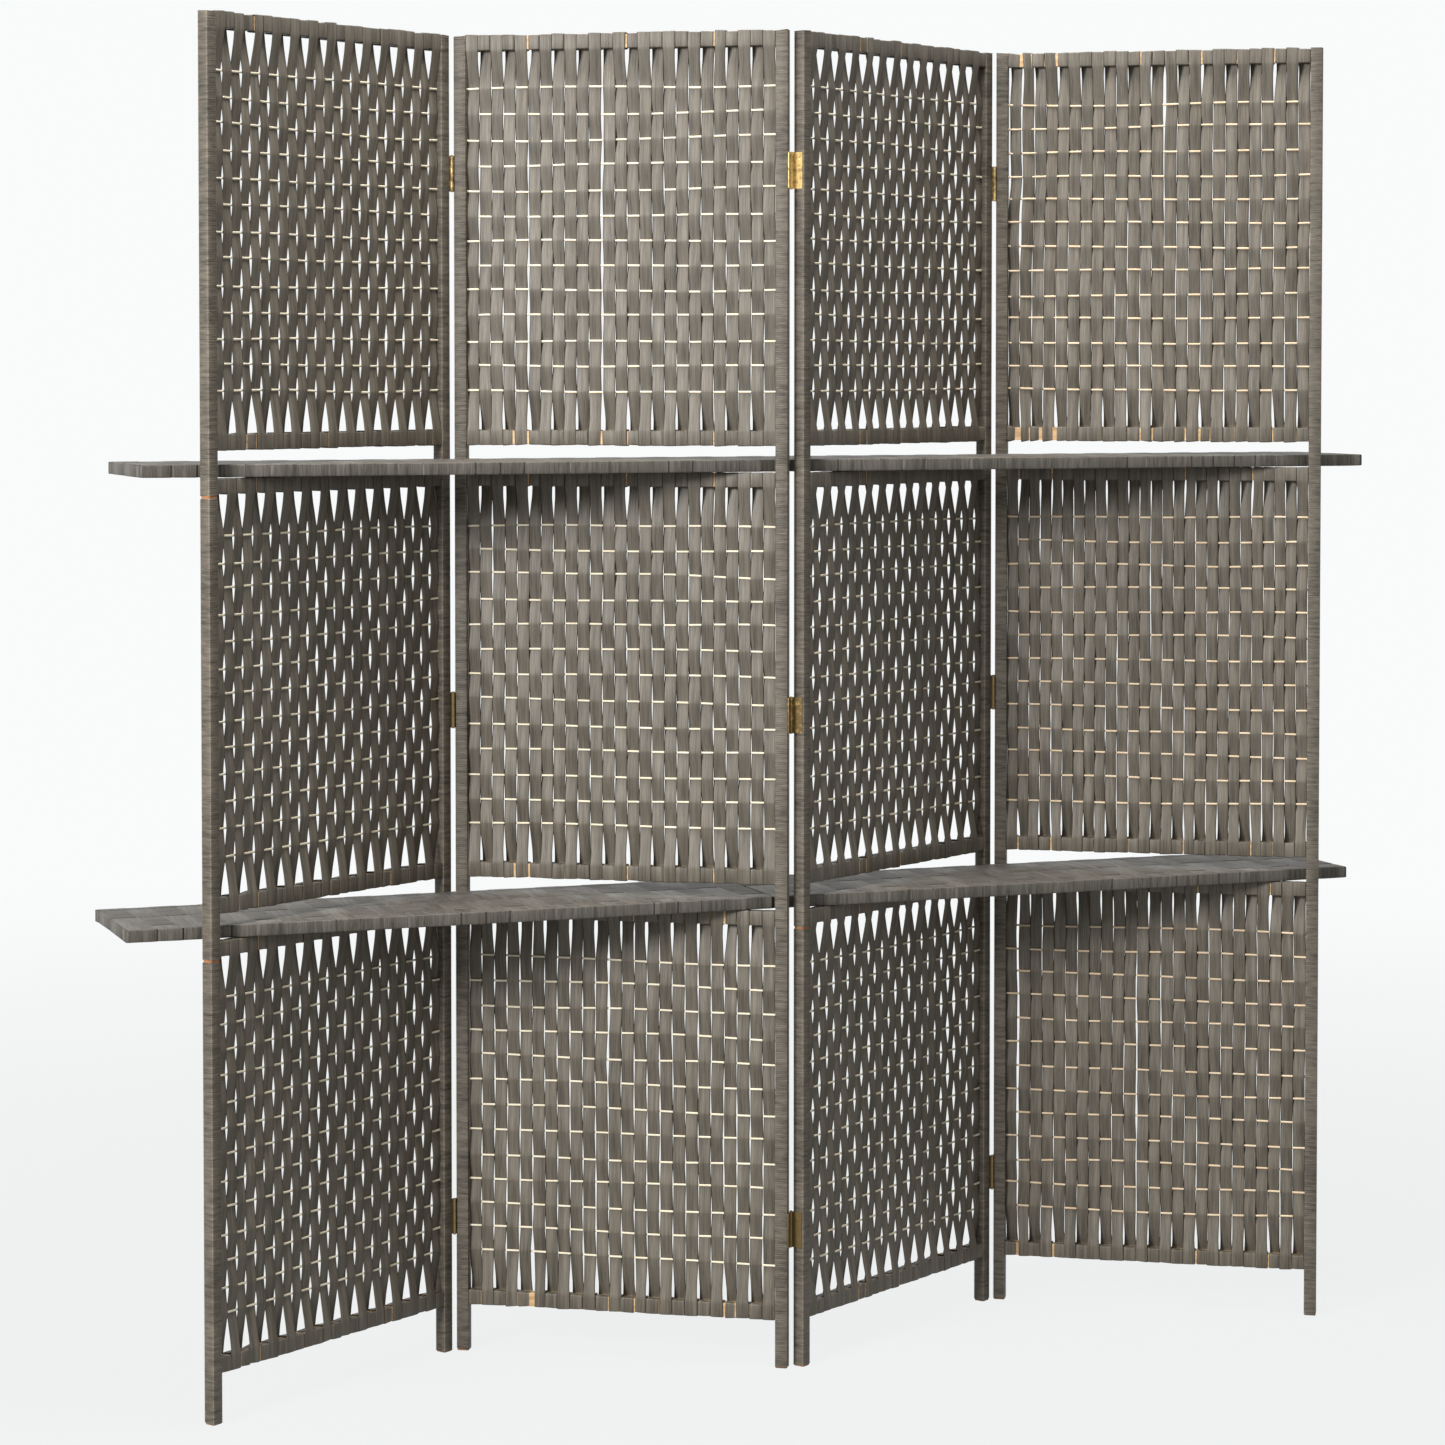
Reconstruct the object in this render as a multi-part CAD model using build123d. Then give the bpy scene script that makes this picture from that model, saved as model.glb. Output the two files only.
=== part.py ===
"""A folding screen of four woven panels that carries two levels of shelf boards.

Millimetres, +Z up. X runs along the screen, Y from its front to its back. The floor is Z = 0.
Each panel is drawn flat about its own middle and then turned to its place in the zigzag.
"""

import math
import os

from build123d import *

# Screen and panels
screen_height = 1800
panel_count = 4
panel_width = 463
panel_angle = 32.5
foot_length = 65
slot_height = 36

# Posts: square wood wound with one layer of twisted paper
post_width = 17
wrap_thickness = 0.8
post_edge_break = 1.5
wrap_rise = 1

# Rails: each woven section hangs between an upper and a lower one
rail_height = 20
rail_depth = 15
rail_notch_clearance = 0.1

# Woven sections: flat paper strips run over both rails and pass the sticks in turn
strip_thickness = 0.9
strip_count = 25
strip_gap = 0.8
stick_diameter = 3
stick_sides = 5
stick_rows = 13
stick_pitch = 34
stick_clearance = 0.1

# Hinges: butt hinges between the posts' end faces, pins on the side that folds shut
hinge_height = 49
hinge_gap = 3.2
leaf_thickness = 1.2
leaf_width = 15
knuckle_count = 3
barrel_sides = 8
knuckle_radius = 2.2
knuckle_clearance = 0.3
knuckle_end_clearance = 0.15
pin_proud = 2.2
pin_radius = 1
pin_clearance = 0.05
pin_head_radius = 1.7
pin_head_height = 0.8
hinge_inset = 186
middle_hinge_drop = 17

# Shelf boards: two butt end to end on each level
board_overhang = 70
board_depth = 200
board_thickness = 17
board_corner_radius = 7
board_skin = 1.2
board_seat_clearance = 0.3
board_joint_gap = 0.6
board_stagger = 21
screen_shift = 9.5

# Worked out from the sizes above
post_core_width = post_width - 2 * wrap_thickness
inner_width = panel_width - 2 * post_width
post_x = (panel_width - post_width) / 2
section_names = ("lower", "middle", "upper")
slot_total = (len(section_names) - 1) * slot_height
section_height = (screen_height - foot_length - slot_total) / len(section_names)
section_step = section_height + slot_height
section_bases = {name: foot_length + place * section_step for place, name in enumerate(section_names)}
rail_core_height = rail_height - 2 * strip_thickness
rail_core_depth = rail_depth - 2 * strip_thickness
strip_pitch = inner_width / strip_count
strip_width = strip_pitch - strip_gap
stick_span = (stick_rows - 1) * stick_pitch
pin_x = (panel_width + hinge_gap) / 2
pin_y = post_width / 2 + pin_proud
turn = math.radians(panel_angle)
panel_step = 2 * (pin_x * math.cos(turn) + pin_y * math.sin(turn))
board_length = panel_count / 2 * panel_step + board_overhang
hinge_levels = (hinge_inset, screen_height / 2 - middle_hinge_drop, screen_height - hinge_inset)
knuckle_height = hinge_height / knuckle_count
facet_share = math.cos(math.pi / barrel_sides)
board_levels = {
    "lower": section_bases["lower"] + section_height + board_seat_clearance,
    "upper": section_bases["middle"] + section_height + board_seat_clearance,
}


def panel_place(number):
    """Where panel 1 to 4 stands: every other one is turned the other way."""
    side = 1 if number % 2 else -1
    steps = number - (panel_count + 1) / 2
    return Pos(screen_shift + steps * panel_step, 0, 0) * Rot(0, 0, side * panel_angle)


def round_bar(radius, length, sides):
    """A thin round bar along Z about the origin, drawn with few sides because it repeats."""
    return extrude(Plane.XY * RegularPolygon(radius, sides), length / 2, both=True)


def eased_bar(width, height, edge_break):
    """A square bar that stands on Z = 0, its four long edges broken."""
    bar = Box(width, width, height, align=(Align.CENTER, Align.CENTER, Align.MIN))
    return chamfer(bar.edges().filter_by(Axis.Z), edge_break)


def rail_levels():
    """The middle heights of the six rails, from the floor up."""
    levels = []
    for base in section_bases.values():
        levels.append(base + rail_height / 2)
        levels.append(base + section_height - rail_height / 2)
    return levels


def post(side):
    """The wooden core of a post; side is -1 for the left one and 1 for the right one."""
    return Pos(side * post_x, 0, 0) * eased_bar(post_core_width, screen_height, post_edge_break)


def rail_notches(side):
    """The windows in one post's winding, where the rails' wood meets the post's wood."""
    depth = rail_core_depth + 2 * rail_notch_clearance
    height = rail_core_height + 2 * rail_notch_clearance
    window = Box(2 * wrap_thickness, depth, height)
    return [Pos(side * inner_width / 2, 0, level) * window for level in rail_levels()]


def post_wrap(side):
    """The paper winding round a post, a sleeve that the rails' ends pass through."""
    height = screen_height - wrap_rise
    outer = eased_bar(post_width, height, post_edge_break)
    inner = eased_bar(post_core_width, height, post_edge_break)
    return Pos(side * post_x, 0, wrap_rise) * (outer - inner) - rail_notches(side)


def rail():
    """A rail's wooden core, from post wood to post wood, its middle at the origin."""
    return Box(inner_width + 2 * wrap_thickness, rail_core_depth, rail_core_height)


def section_rails(base):
    """The lower and the upper rail of one section."""
    low = Pos(0, 0, base + rail_height / 2) * rail()
    high = Pos(0, 0, base + section_height - rail_height / 2) * rail()
    return Compound([low.solid(), high.solid()])


def rail_sheath():
    """The strips' turns round a rail, taken together as one sleeve."""
    outer = Box(inner_width, rail_depth, rail_height)
    return outer - Box(inner_width, rail_core_depth, rail_core_height)


def strip():
    """One front strip of a section that stands on Z = 0, between its two rails' windings."""
    length = section_height - 2 * rail_height
    middle = -(stick_diameter + strip_thickness) / 2 - stick_clearance
    return Pos(0, middle, section_height / 2) * Box(strip_width, strip_thickness, length)


def woven_section():
    """All strips of a section and their turns round both rails, one piece, standing on Z = 0."""
    front = strip()
    back = mirror(front, Plane.XZ)
    strips = []
    for place in range(strip_count):
        x = (place - (strip_count - 1) / 2) * strip_pitch
        strips.append(Pos(x, 0, 0) * (back if place % 2 else front))
    low = Pos(0, 0, rail_height / 2) * rail_sheath()
    high = Pos(0, 0, section_height - rail_height / 2) * rail_sheath()
    return low.fuse(high, *strips)


def panel_sticks():
    """The straight sticks that cross all three sections of a panel, from post to post."""
    stick = Rot(0, 90, 0) * round_bar(stick_diameter / 2, inner_width, stick_sides)
    sticks = []
    for base in section_bases.values():
        first_row = base + (section_height - stick_span) / 2
        for row in range(stick_rows):
            sticks.append((Pos(0, 0, first_row + row * stick_pitch) * stick).solid())
    return Compound(sticks)


def knuckle_zone(place, radius, growth):
    """A bar about the pin at one of the knuckles' places, longer by growth at each end."""
    middle = (place - (knuckle_count - 1) / 2) * knuckle_height
    return Pos(0, 0, middle) * round_bar(radius, knuckle_height + 2 * growth, barrel_sides)


def hinge_leaf(side):
    """A leaf about its pin, the closing side at -Y; side is -1 for a left leaf, 1 for a right one.

    The left leaf has the outer knuckles and the right one the knuckle between them.
    """
    first_own = 0 if side < 0 else 1
    own = range(first_own, knuckle_count, 2)
    other = range(1 - first_own, knuckle_count, 2)
    plate_x = side * (hinge_gap - leaf_thickness) / 2
    plate_length = pin_proud + leaf_width
    plate_height = hinge_height - 2 * knuckle_end_clearance
    plate = Pos(plate_x, plate_length / 2, 0) * Box(leaf_thickness, plate_length, plate_height)
    swept_radius = (knuckle_radius + knuckle_clearance) / facet_share
    room = [knuckle_zone(place, swept_radius, knuckle_end_clearance) for place in other]
    knuckles = [knuckle_zone(place, knuckle_radius, -knuckle_end_clearance) for place in own]
    bore = round_bar((pin_radius + pin_clearance) / facet_share, 2 * hinge_height, barrel_sides)
    return (plate - room).fuse(*knuckles) - bore


def hinge_pin():
    """A hinge pin with its two riveted heads."""
    ends = hinge_height / 2 - knuckle_end_clearance
    head_middle = ends + pin_head_height / 2
    shaft = round_bar(pin_radius, 2 * ends, barrel_sides)
    head = round_bar(pin_head_radius, pin_head_height, barrel_sides)
    return shaft.fuse(Pos(0, 0, head_middle) * head, Pos(0, 0, -head_middle) * head)


def three_along(number, side, closing, piece):
    """Three copies of a hinge piece up one edge of a panel, each about the pin's place there."""
    if closing > 0:
        piece = mirror(piece, Plane.XZ)
    place = panel_place(number)
    copies = []
    for level in hinge_levels:
        copies.append((place * Pos(side * pin_x, closing * pin_y, level) * piece).solid())
    return Compound(copies)


def slab(length, depth, thickness):
    """A board's plain slab, standing on Z = 0."""
    return Box(length, depth, thickness, align=(Align.CENTER, Align.CENTER, Align.MIN))


def shelf(side, joint_x, level):
    """A board's wooden core and its woven cover; side is -1 for a left board, 1 for a right one."""
    x = joint_x + side * (board_length + board_joint_gap) / 2
    place = Pos(x, 0, level)
    outer = slab(board_length, board_depth, board_thickness)
    outer = fillet(outer.edges().filter_by(Axis.Z), board_corner_radius)
    skins = 2 * board_skin
    core = slab(board_length - skins, board_depth - skins, board_thickness - skins)
    core = chamfer(core.edges().filter_by(Axis.Z), board_corner_radius - board_skin)
    core = Pos(0, 0, board_skin) * core
    return place * core, place * (outer - core)


def build_nodes():
    """Every separate piece of the screen by its name."""
    nodes = {}
    section_weave = woven_section()
    sticks = panel_sticks()
    wraps = Compound([post_wrap(-1).solid(), post_wrap(1).solid()])
    for number in range(1, panel_count + 1):
        place = panel_place(number)
        panel = f"panel_{number}"
        nodes[f"{panel}_left_post"] = place * post(-1)
        nodes[f"{panel}_right_post"] = place * post(1)
        nodes[f"{panel}_post_wraps"] = place * wraps
        nodes[f"{panel}_sticks"] = place * sticks
        for section, base in section_bases.items():
            nodes[f"{panel}_{section}_rails"] = place * section_rails(base)
            nodes[f"{panel}_{section}_weave"] = place * Pos(0, 0, base) * section_weave
    for number in range(1, panel_count):
        closing = -1 if number % 2 else 1
        hinge = f"hinge_{number}"
        nodes[f"{hinge}_left_leaves"] = three_along(number, 1, closing, hinge_leaf(-1))
        nodes[f"{hinge}_right_leaves"] = three_along(number + 1, -1, closing, hinge_leaf(1))
        nodes[f"{hinge}_pins"] = three_along(number, 1, closing, hinge_pin())
    for storey, level in board_levels.items():
        stagger = board_stagger / 2 if storey == "upper" else -board_stagger / 2
        for side, hand in ((-1, "left"), (1, "right")):
            core, cover = shelf(side, stagger, level)
            nodes[f"{storey}_{hand}_shelf_core"] = core
            nodes[f"{storey}_{hand}_shelf_cover"] = cover
    return nodes


os.makedirs("parts", exist_ok=True)
for name, shape in build_nodes().items():
    export_step(shape, f"parts/{name}.step")
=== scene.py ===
"""Dresses the folding screen: paper weave, wound posts, sticks, boards, hinges, finishes and studio."""

import math

import bmesh
import bpy
from bpy.props import FloatProperty, FloatVectorProperty, IntProperty, PointerProperty
from mathutils import Matrix, Vector


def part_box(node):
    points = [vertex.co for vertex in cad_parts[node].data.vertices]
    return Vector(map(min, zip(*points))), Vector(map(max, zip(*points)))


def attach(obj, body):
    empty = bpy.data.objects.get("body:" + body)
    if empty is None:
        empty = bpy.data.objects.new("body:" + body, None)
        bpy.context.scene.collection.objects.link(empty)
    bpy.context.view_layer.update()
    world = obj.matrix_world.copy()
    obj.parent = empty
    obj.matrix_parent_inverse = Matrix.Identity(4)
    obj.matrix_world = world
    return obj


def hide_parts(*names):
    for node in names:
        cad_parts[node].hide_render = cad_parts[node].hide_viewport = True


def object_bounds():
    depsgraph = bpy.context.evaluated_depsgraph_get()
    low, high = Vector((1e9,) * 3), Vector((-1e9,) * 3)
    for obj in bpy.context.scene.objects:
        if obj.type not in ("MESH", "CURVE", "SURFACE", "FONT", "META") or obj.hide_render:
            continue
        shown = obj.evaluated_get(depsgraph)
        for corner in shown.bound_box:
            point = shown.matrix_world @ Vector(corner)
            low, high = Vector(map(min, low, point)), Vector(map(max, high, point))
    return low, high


bl_info = {
    "name": "Woven Folding Screen",
    "version": (1, 0, 0),
    "blender": (4, 5, 0),
    "location": "View3D > Sidebar > Screen",
    "description": "Builds the woven parts, hinges and finishes of a folding screen with shelves",
    "category": "Add Mesh",
}

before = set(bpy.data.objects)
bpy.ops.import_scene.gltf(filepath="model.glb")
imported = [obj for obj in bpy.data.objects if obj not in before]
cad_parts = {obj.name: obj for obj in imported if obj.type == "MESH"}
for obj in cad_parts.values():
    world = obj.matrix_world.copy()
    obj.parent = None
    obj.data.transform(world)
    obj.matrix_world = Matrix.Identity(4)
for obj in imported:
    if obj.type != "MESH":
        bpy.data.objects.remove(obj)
cad_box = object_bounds()

MM = 0.001
PANELS = ("panel_1", "panel_2", "panel_3", "panel_4")
SECTIONS = ("lower", "middle", "upper")
STOREYS = ("lower", "upper")
HANDS = ("left", "right")

# Slits between strips that the photograph shows: (after strip, from, to) in mm down the section, and width
SLITS = {
    ("panel_2", "upper"): (((4, 120, 400), 2.6), ((10, 60, 560), 2.6), ((0, 150, 260), 1.8)),
    ("panel_2", "middle"): (((1, 60, 130), 1.5),),
    ("panel_2", "lower"): (((10, 60, 180), 1.6), ((4, 470, 560), 2.5)),
    ("panel_4", "upper"): (
        ((-1, 10, 150), 8.0), ((0, 20, 230), 2.4), ((1, 20, 150), 2.0), ((12, 10, 60), 3.5),
    ),
    ("panel_4", "lower"): (((10, 90, 320), 1.8), ((0, 40, 420), 2.6)),
}

# Strips in each section, and which of them leave the rails from the front: 0 the outermost, 1 the next
STRIPS = {
    "panel_1": {"upper": (25, 0), "middle": (25, 1), "lower": (25, 1)},
    "panel_2": {"upper": (25, 0), "middle": (25, 0), "lower": (24, 1)},
    "panel_3": {"upper": (26, 0), "middle": (26, 0), "lower": (26, 0)},
    "panel_4": {"upper": (25, 1), "middle": (27, 0), "lower": (25, 1)},
}
SLIT_NUMBERS = (1, 2, 3, 4)

# Posts whose winding leaves a bare band just under a section's upper rail
BARE_BANDS = {("panel_1", "left"): ("lower", "middle"), ("panel_3", "left"): ("lower",)}

# Panels draw their noise this far apart
PANEL_SEED = 11.3

# How rows stray: the noise's scale across the panel, by seed and up the panel, per metre
ROW_NOISE = (3.2, 1.0, 17.0)

# How strips stray: the noise's scale by strip, per metre along it and by seed, and its share of the wander.
# Neighbours stray together, and then each strip strays a little by itself
STRAY = (((0.3, 6.0, 1.0), 1.0), ((3.7, 14.0, 1.0), 0.3))
SWELL_NOISE = (1.3, 30.0, 1.7)

# A slit closes over this length at both ends. Each strip farther off gives way by this share of the one
# before it, and they start from this share of the slit's width
SLIT_END = 60 * MM
SLIT_FADE = 0.75
SLIT_PUSH = 0.6

# A strip that sits askew on a rail is this far aside and narrower by this share
ASKEW_SHIFT = 1.6 * MM
ASKEW_NARROWING = 0.16

# A strip's section is a circle with its heights raised to this power and then pressed flat
FLATNESS = 0.45
STRIP_SIDES = 12
STICK_SIDES = 8
STICK_STEPS = 16

# The cord's turns: rings in each turn, lumps along the cord, and the noise that tilts a turn, per metre
TURN_RINGS = 3
CORD_LUMP = 6.25 * MM
TILT_NOISE = (60.0, 60.0, 22.0)
TURN_TILT = 1.8
KNOT_NOISE = 90.0


def linear(hex_colour):
    """A screen colour such as "#7d786f" as linear red, green, blue and alpha."""
    channels = []
    for start in (1, 3, 5):
        level = int(hex_colour[start : start + 2], 16) / 255
        channels.append(level / 12.92 if level <= 0.04045 else ((level + 0.055) / 1.055) ** 2.4)
    return (*channels, 1.0)


def feed(tree, node, *links):
    """Fills inputs of a node: each link is an input and the value, socket or node that goes in."""
    for key, value in links:
        if isinstance(value, bpy.types.Node):
            value = value.outputs[0]
        if isinstance(value, bpy.types.NodeSocket):
            tree.links.new(value, node.inputs[key])
        else:
            node.inputs[key].default_value = value


def add(tree, kind, *links, **settings):
    """Adds one node with its settings and links."""
    node = tree.nodes.new(kind)
    for name, value in settings.items():
        setattr(node, name, value)
    feed(tree, node, *links)
    return node


def length(name, description, millimetres):
    """A length that shows in the scene's units."""
    return FloatProperty(name=name, description=description, default=millimetres * MM, subtype="DISTANCE",
                         unit="LENGTH")


def amount(name, description, value, **kind):
    """A plain number, a share or a power."""
    return FloatProperty(name=name, description=description, default=value, **kind)


def colour(name, description, hex_colour):
    """A colour swatch."""
    return FloatVectorProperty(name=name, description=description, size=4, subtype="COLOR", min=0, max=1,
                               default=linear(hex_colour))


class WeaveSettings(bpy.types.PropertyGroup):
    strip_width: length("Strip width", "Width of a paper strip where it has room", 17.0)
    strip_gap: length("Strip gap", "Least gap between two strips", 0.1)
    strip_thickness: length("Strip thickness", "Thickness of a paper strip", 0.9)
    strip_wander: length("Strip wander", "How far strips stray to their sides", 5.0)
    row_wander: length("Row wander", "How far the rows of sticks stray from level lines", 14.0)
    rail_height: length("Rail height", "Height of a rail with the strips on it", 20)
    rail_depth: length("Rail depth", "Depth of a rail with the strips on it", 15)
    top_lumps: length("Top lumps", "How far strips bulge over the top rails", 2.2)
    low_lumps: length("Low lumps", "How far strips bulge under the lower rails", 1.2)
    rail_gaps: amount("Gaps on rails", "Share of strips that sit askew on a rail", 0.16, subtype="FACTOR")
    stick_rows: IntProperty(name="Stick rows", description="Sticks in one section", default=13, min=1)
    stick_pitch: length("Stick pitch", "Height from one stick to the next", 34)
    stick_diameter: length("Stick diameter", "Diameter of a stick", 3)
    strip_dark: colour("Strip dark", "Darker fibres of the paper strips", "#3d372c")
    strip_light: colour("Strip light", "Lighter fibres of the paper strips", "#797063")
    stick_colour: colour("Stick", "Bare straw-coloured wood of the sticks", "#fdf6e3")


class WindingSettings(bpy.types.PropertyGroup):
    post_width: length("Post width", "Width of a post over its winding", 17)
    corner_radius: length("Corner radius", "Rounding of a wound post's edges", 1.6)
    turn_height: length("Turn height", "Height of one turn of cord", 3.0)
    ridge_depth: length("Ridge depth", "Depth of the groove between two turns", 0.45)
    winding_rise: length("Winding rise", "Height of the winding's lower end over the floor", 1.3)
    top_rise: length("Top rise", "Height of the winding's upper end over the post's wood", 0.4)
    bare_gap: length("Bare gap", "Height of the bare wood under a rail", 4.0)
    band_depth: length("Band depth", "Distance of the bare wood from the top of the section", 22.0)
    cord_dark: colour("Cord dark", "Darker fibres of the twisted paper cord", "#383228")
    cord_light: colour("Cord light", "Lighter fibres of the twisted paper cord", "#72695c")


class ShelfSettings(bpy.types.PropertyGroup):
    cross_count: IntProperty(name="Cross strips", description="Strips wound round one board", default=26,
                             min=2)
    strip_thickness: length("Strip thickness", "Thickness of the strips on a board", 0.8)
    seat_room: length("Seat room", "Height of a board's strips over the rails it rests on", 0.5)
    strip_lap: length("Strip lap", "How far two strips wound round a board lap", 6.0)
    corner_radius: length("Corner radius", "Rounding of a board's corners", 7)
    edge_radius: length("Edge radius", "Rounding of a board's long edges", 1.6)
    strip_dark: colour("Strip dark", "Darker fibres of the shelf strips", "#4a453d")
    strip_light: colour("Strip light", "Lighter fibres of the shelf strips", "#878178")


class HingeSettings(bpy.types.PropertyGroup):
    height: length("Hinge height", "Height of a hinge", 49)
    gap: length("Hinge gap", "Gap between two posts at a hinge", 3.2)
    leaf_thickness: length("Leaf thickness", "Thickness of a hinge leaf", 1.2)
    leaf_width: length("Leaf width", "Width of a leaf on its post", 15)
    pin_proud: length("Pin proud", "Distance of the pin from the posts' faces", 2.2)
    pin_radius: length("Pin radius", "Radius of the pin", 1)
    knuckle_radius: length("Knuckle radius", "Radius of a knuckle", 2.2)
    screw_spread: length("Screw spread", "Distance of a screw from the hinge's middle", 14.7)
    middle_drop: length("Middle drop", "How far the middle hinge is under half the height", 17)
    brass: colour("Brass", "Worn brass of the leaves", "#dcbf80")
    tarnish: colour("Tarnish", "Tarnish in the corners of the brass", "#7c6842")


class StudioSettings(bpy.types.PropertyGroup):
    floor_colour: colour("Floor", "Paint of the floor", "#8e9092")
    backdrop_colour: colour("Backdrop", "Background behind the floor and the screen", "#f9fbfb")
    key_power: amount("Key power", "Power of the main lamp", 235, unit="POWER")
    top_power: amount("Top power", "Power of the overhead lamp", 60, unit="POWER")
    fill_power: amount("Fill power", "Power of the fill lamp", 14, unit="POWER")
    world_strength: amount("Sky strength", "Strength of the even light", 0.18, subtype="FACTOR")


# Places taken from the frame


def middle(node):
    """The middle of a node's box."""
    low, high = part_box(node)
    return (low + high) / 2


def panel_matrix(panel):
    """Where a panel stands: its own X runs from its left to its right post, and Z = 0 is the floor."""
    left, right = middle(f"{panel}_left_post"), middle(f"{panel}_right_post")
    centre = (left + right) / 2
    angle = math.atan2(right.y - left.y, right.x - left.x)
    return Matrix.Translation((centre.x, centre.y, 0)) @ Matrix.Rotation(angle, 4, "Z")


def post_spacing(panel):
    """Distance between the middles of a panel's two posts."""
    return (middle(f"{panel}_right_post") - middle(f"{panel}_left_post")).xy.length


def inner_width(panel, winding):
    """Clear width between a panel's two posts."""
    return post_spacing(panel) - winding.post_width


def row_heights(panel, section, weave):
    """Heights of the sticks in one section, from the top down."""
    low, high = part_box(f"{panel}_{section}_weave")
    top = (low.z + high.z) / 2 + (weave.stick_rows - 1) / 2 * weave.stick_pitch
    return [top - row * weave.stick_pitch for row in range(weave.stick_rows)]


# Making pieces


def chains(name, routes):
    """A mesh of open or closed chains of edges. A route is (points, closed, kind, width shares, freedoms)."""
    mesh = bpy.data.meshes.new(name)
    points, edges, kinds, shares, freedoms = [], [], [], [], []
    for route, closed, kind, widths, free in routes:
        first = len(points)
        points += route
        kinds += [kind] * len(route)
        shares += widths or [1.0] * len(route)
        freedoms += free or [1.0] * len(route)
        edges += [(first + i, first + i + 1) for i in range(len(route) - 1)]
        if closed:
            edges.append((len(points) - 1, first))
    mesh.from_pydata(points, edges, [])
    mesh.attributes.new("kind", "INT", "POINT").data.foreach_set("value", kinds)
    mesh.attributes.new("width_share", "FLOAT", "POINT").data.foreach_set("value", shares)
    mesh.attributes.new("free", "FLOAT", "POINT").data.foreach_set("value", freedoms)
    return mesh


def new_object(name, data):
    """A new object in the scene with this mesh, lamp or camera."""
    made = bpy.data.objects.new(name, data)
    bpy.context.scene.collection.objects.link(made)
    return made


def grown(name, guide, tree, values, place):
    """The plain mesh that a node tree makes from its guide, turned to its place in the screen."""
    piece = new_object(name, guide)
    modifier = piece.modifiers.new("Grow", "NODES")
    modifier.node_group = tree
    sockets = {item.name: item.identifier for item in tree.interface.items_tree if item.in_out == "INPUT"}
    for key, value in values.items():
        modifier[sockets[key]] = value
    depsgraph = bpy.context.evaluated_depsgraph_get()
    mesh = bpy.data.meshes.new_from_object(piece.evaluated_get(depsgraph), preserve_all_data_layers=True,
                                           depsgraph=depsgraph)
    piece.modifiers.remove(modifier)
    mesh.name = name
    mesh.transform(place)
    piece.data = mesh
    bpy.data.meshes.remove(guide)
    return piece


def join_rings(built, rings):
    """Joins each closed ring of vertices to the next one with faces."""
    for lower, upper in zip(rings, rings[1:]):
        for i in range(len(lower)):
            j = (i + 1) % len(lower)
            built.faces.new((lower[i], lower[j], upper[j], upper[i]))


def cap_ends(built, rings):
    """Closes the first and the last of a row of rings."""
    built.faces.new(list(reversed(rings[0])))
    built.faces.new(rings[-1])


def seat(piece, body, slot, *nodes):
    """Lets a piece ride on its body and stand for its CAD nodes."""
    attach(piece, body)
    if nodes:
        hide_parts(*nodes)


def new_tree(name, *inputs):
    """An empty Geometry Nodes tree with a geometry input, named inputs and a geometry output."""
    tree = bpy.data.node_groups.new(name, "GeometryNodeTree")
    tree.interface.new_socket("Guide", in_out="INPUT", socket_type="NodeSocketGeometry")
    for label, kind, value in inputs:
        socket = tree.interface.new_socket(label, in_out="INPUT", socket_type=kind)
        if value is not None:
            socket.default_value = value
    tree.interface.new_socket("Piece", in_out="OUTPUT", socket_type="NodeSocketGeometry")
    return tree


def finish_tree(tree, body, material):
    """Ends a tree: smooth faces, real copies and the piece's material."""
    smooth = add(tree, "GeometryNodeSetShadeSmooth", ("Geometry", body), ("Shade Smooth", True))
    whole = add(tree, "GeometryNodeRealizeInstances", ("Geometry", smooth))
    dressed = add(tree, "GeometryNodeSetMaterial", ("Geometry", whole), ("Material", material))
    add(tree, "NodeGroupOutput", ("Piece", dressed))
    return tree


def row_stray(tree, seed, reach):
    """How far a row lies off its level line at a place: strips and sticks read the same noise."""
    spot = add(tree, "GeometryNodeInputPosition")
    parts = add(tree, "ShaderNodeSeparateXYZ", (0, spot))
    flat = add(tree, "ShaderNodeCombineXYZ", ("X", parts.outputs["X"]), ("Y", seed),
               ("Z", parts.outputs["Z"]))
    read = add(tree, "ShaderNodeVectorMath", (0, flat), (1, ROW_NOISE), operation="MULTIPLY")
    noise = add(tree, "ShaderNodeTexNoise", ("Vector", read), ("Scale", 1.0), ("Detail", 1.0))
    level = add(tree, "ShaderNodeMath", (0, noise.outputs["Fac"]), (1, 0.5), operation="SUBTRACT")
    return add(tree, "ShaderNodeMath", (0, level), (1, reach), operation="MULTIPLY")


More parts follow.
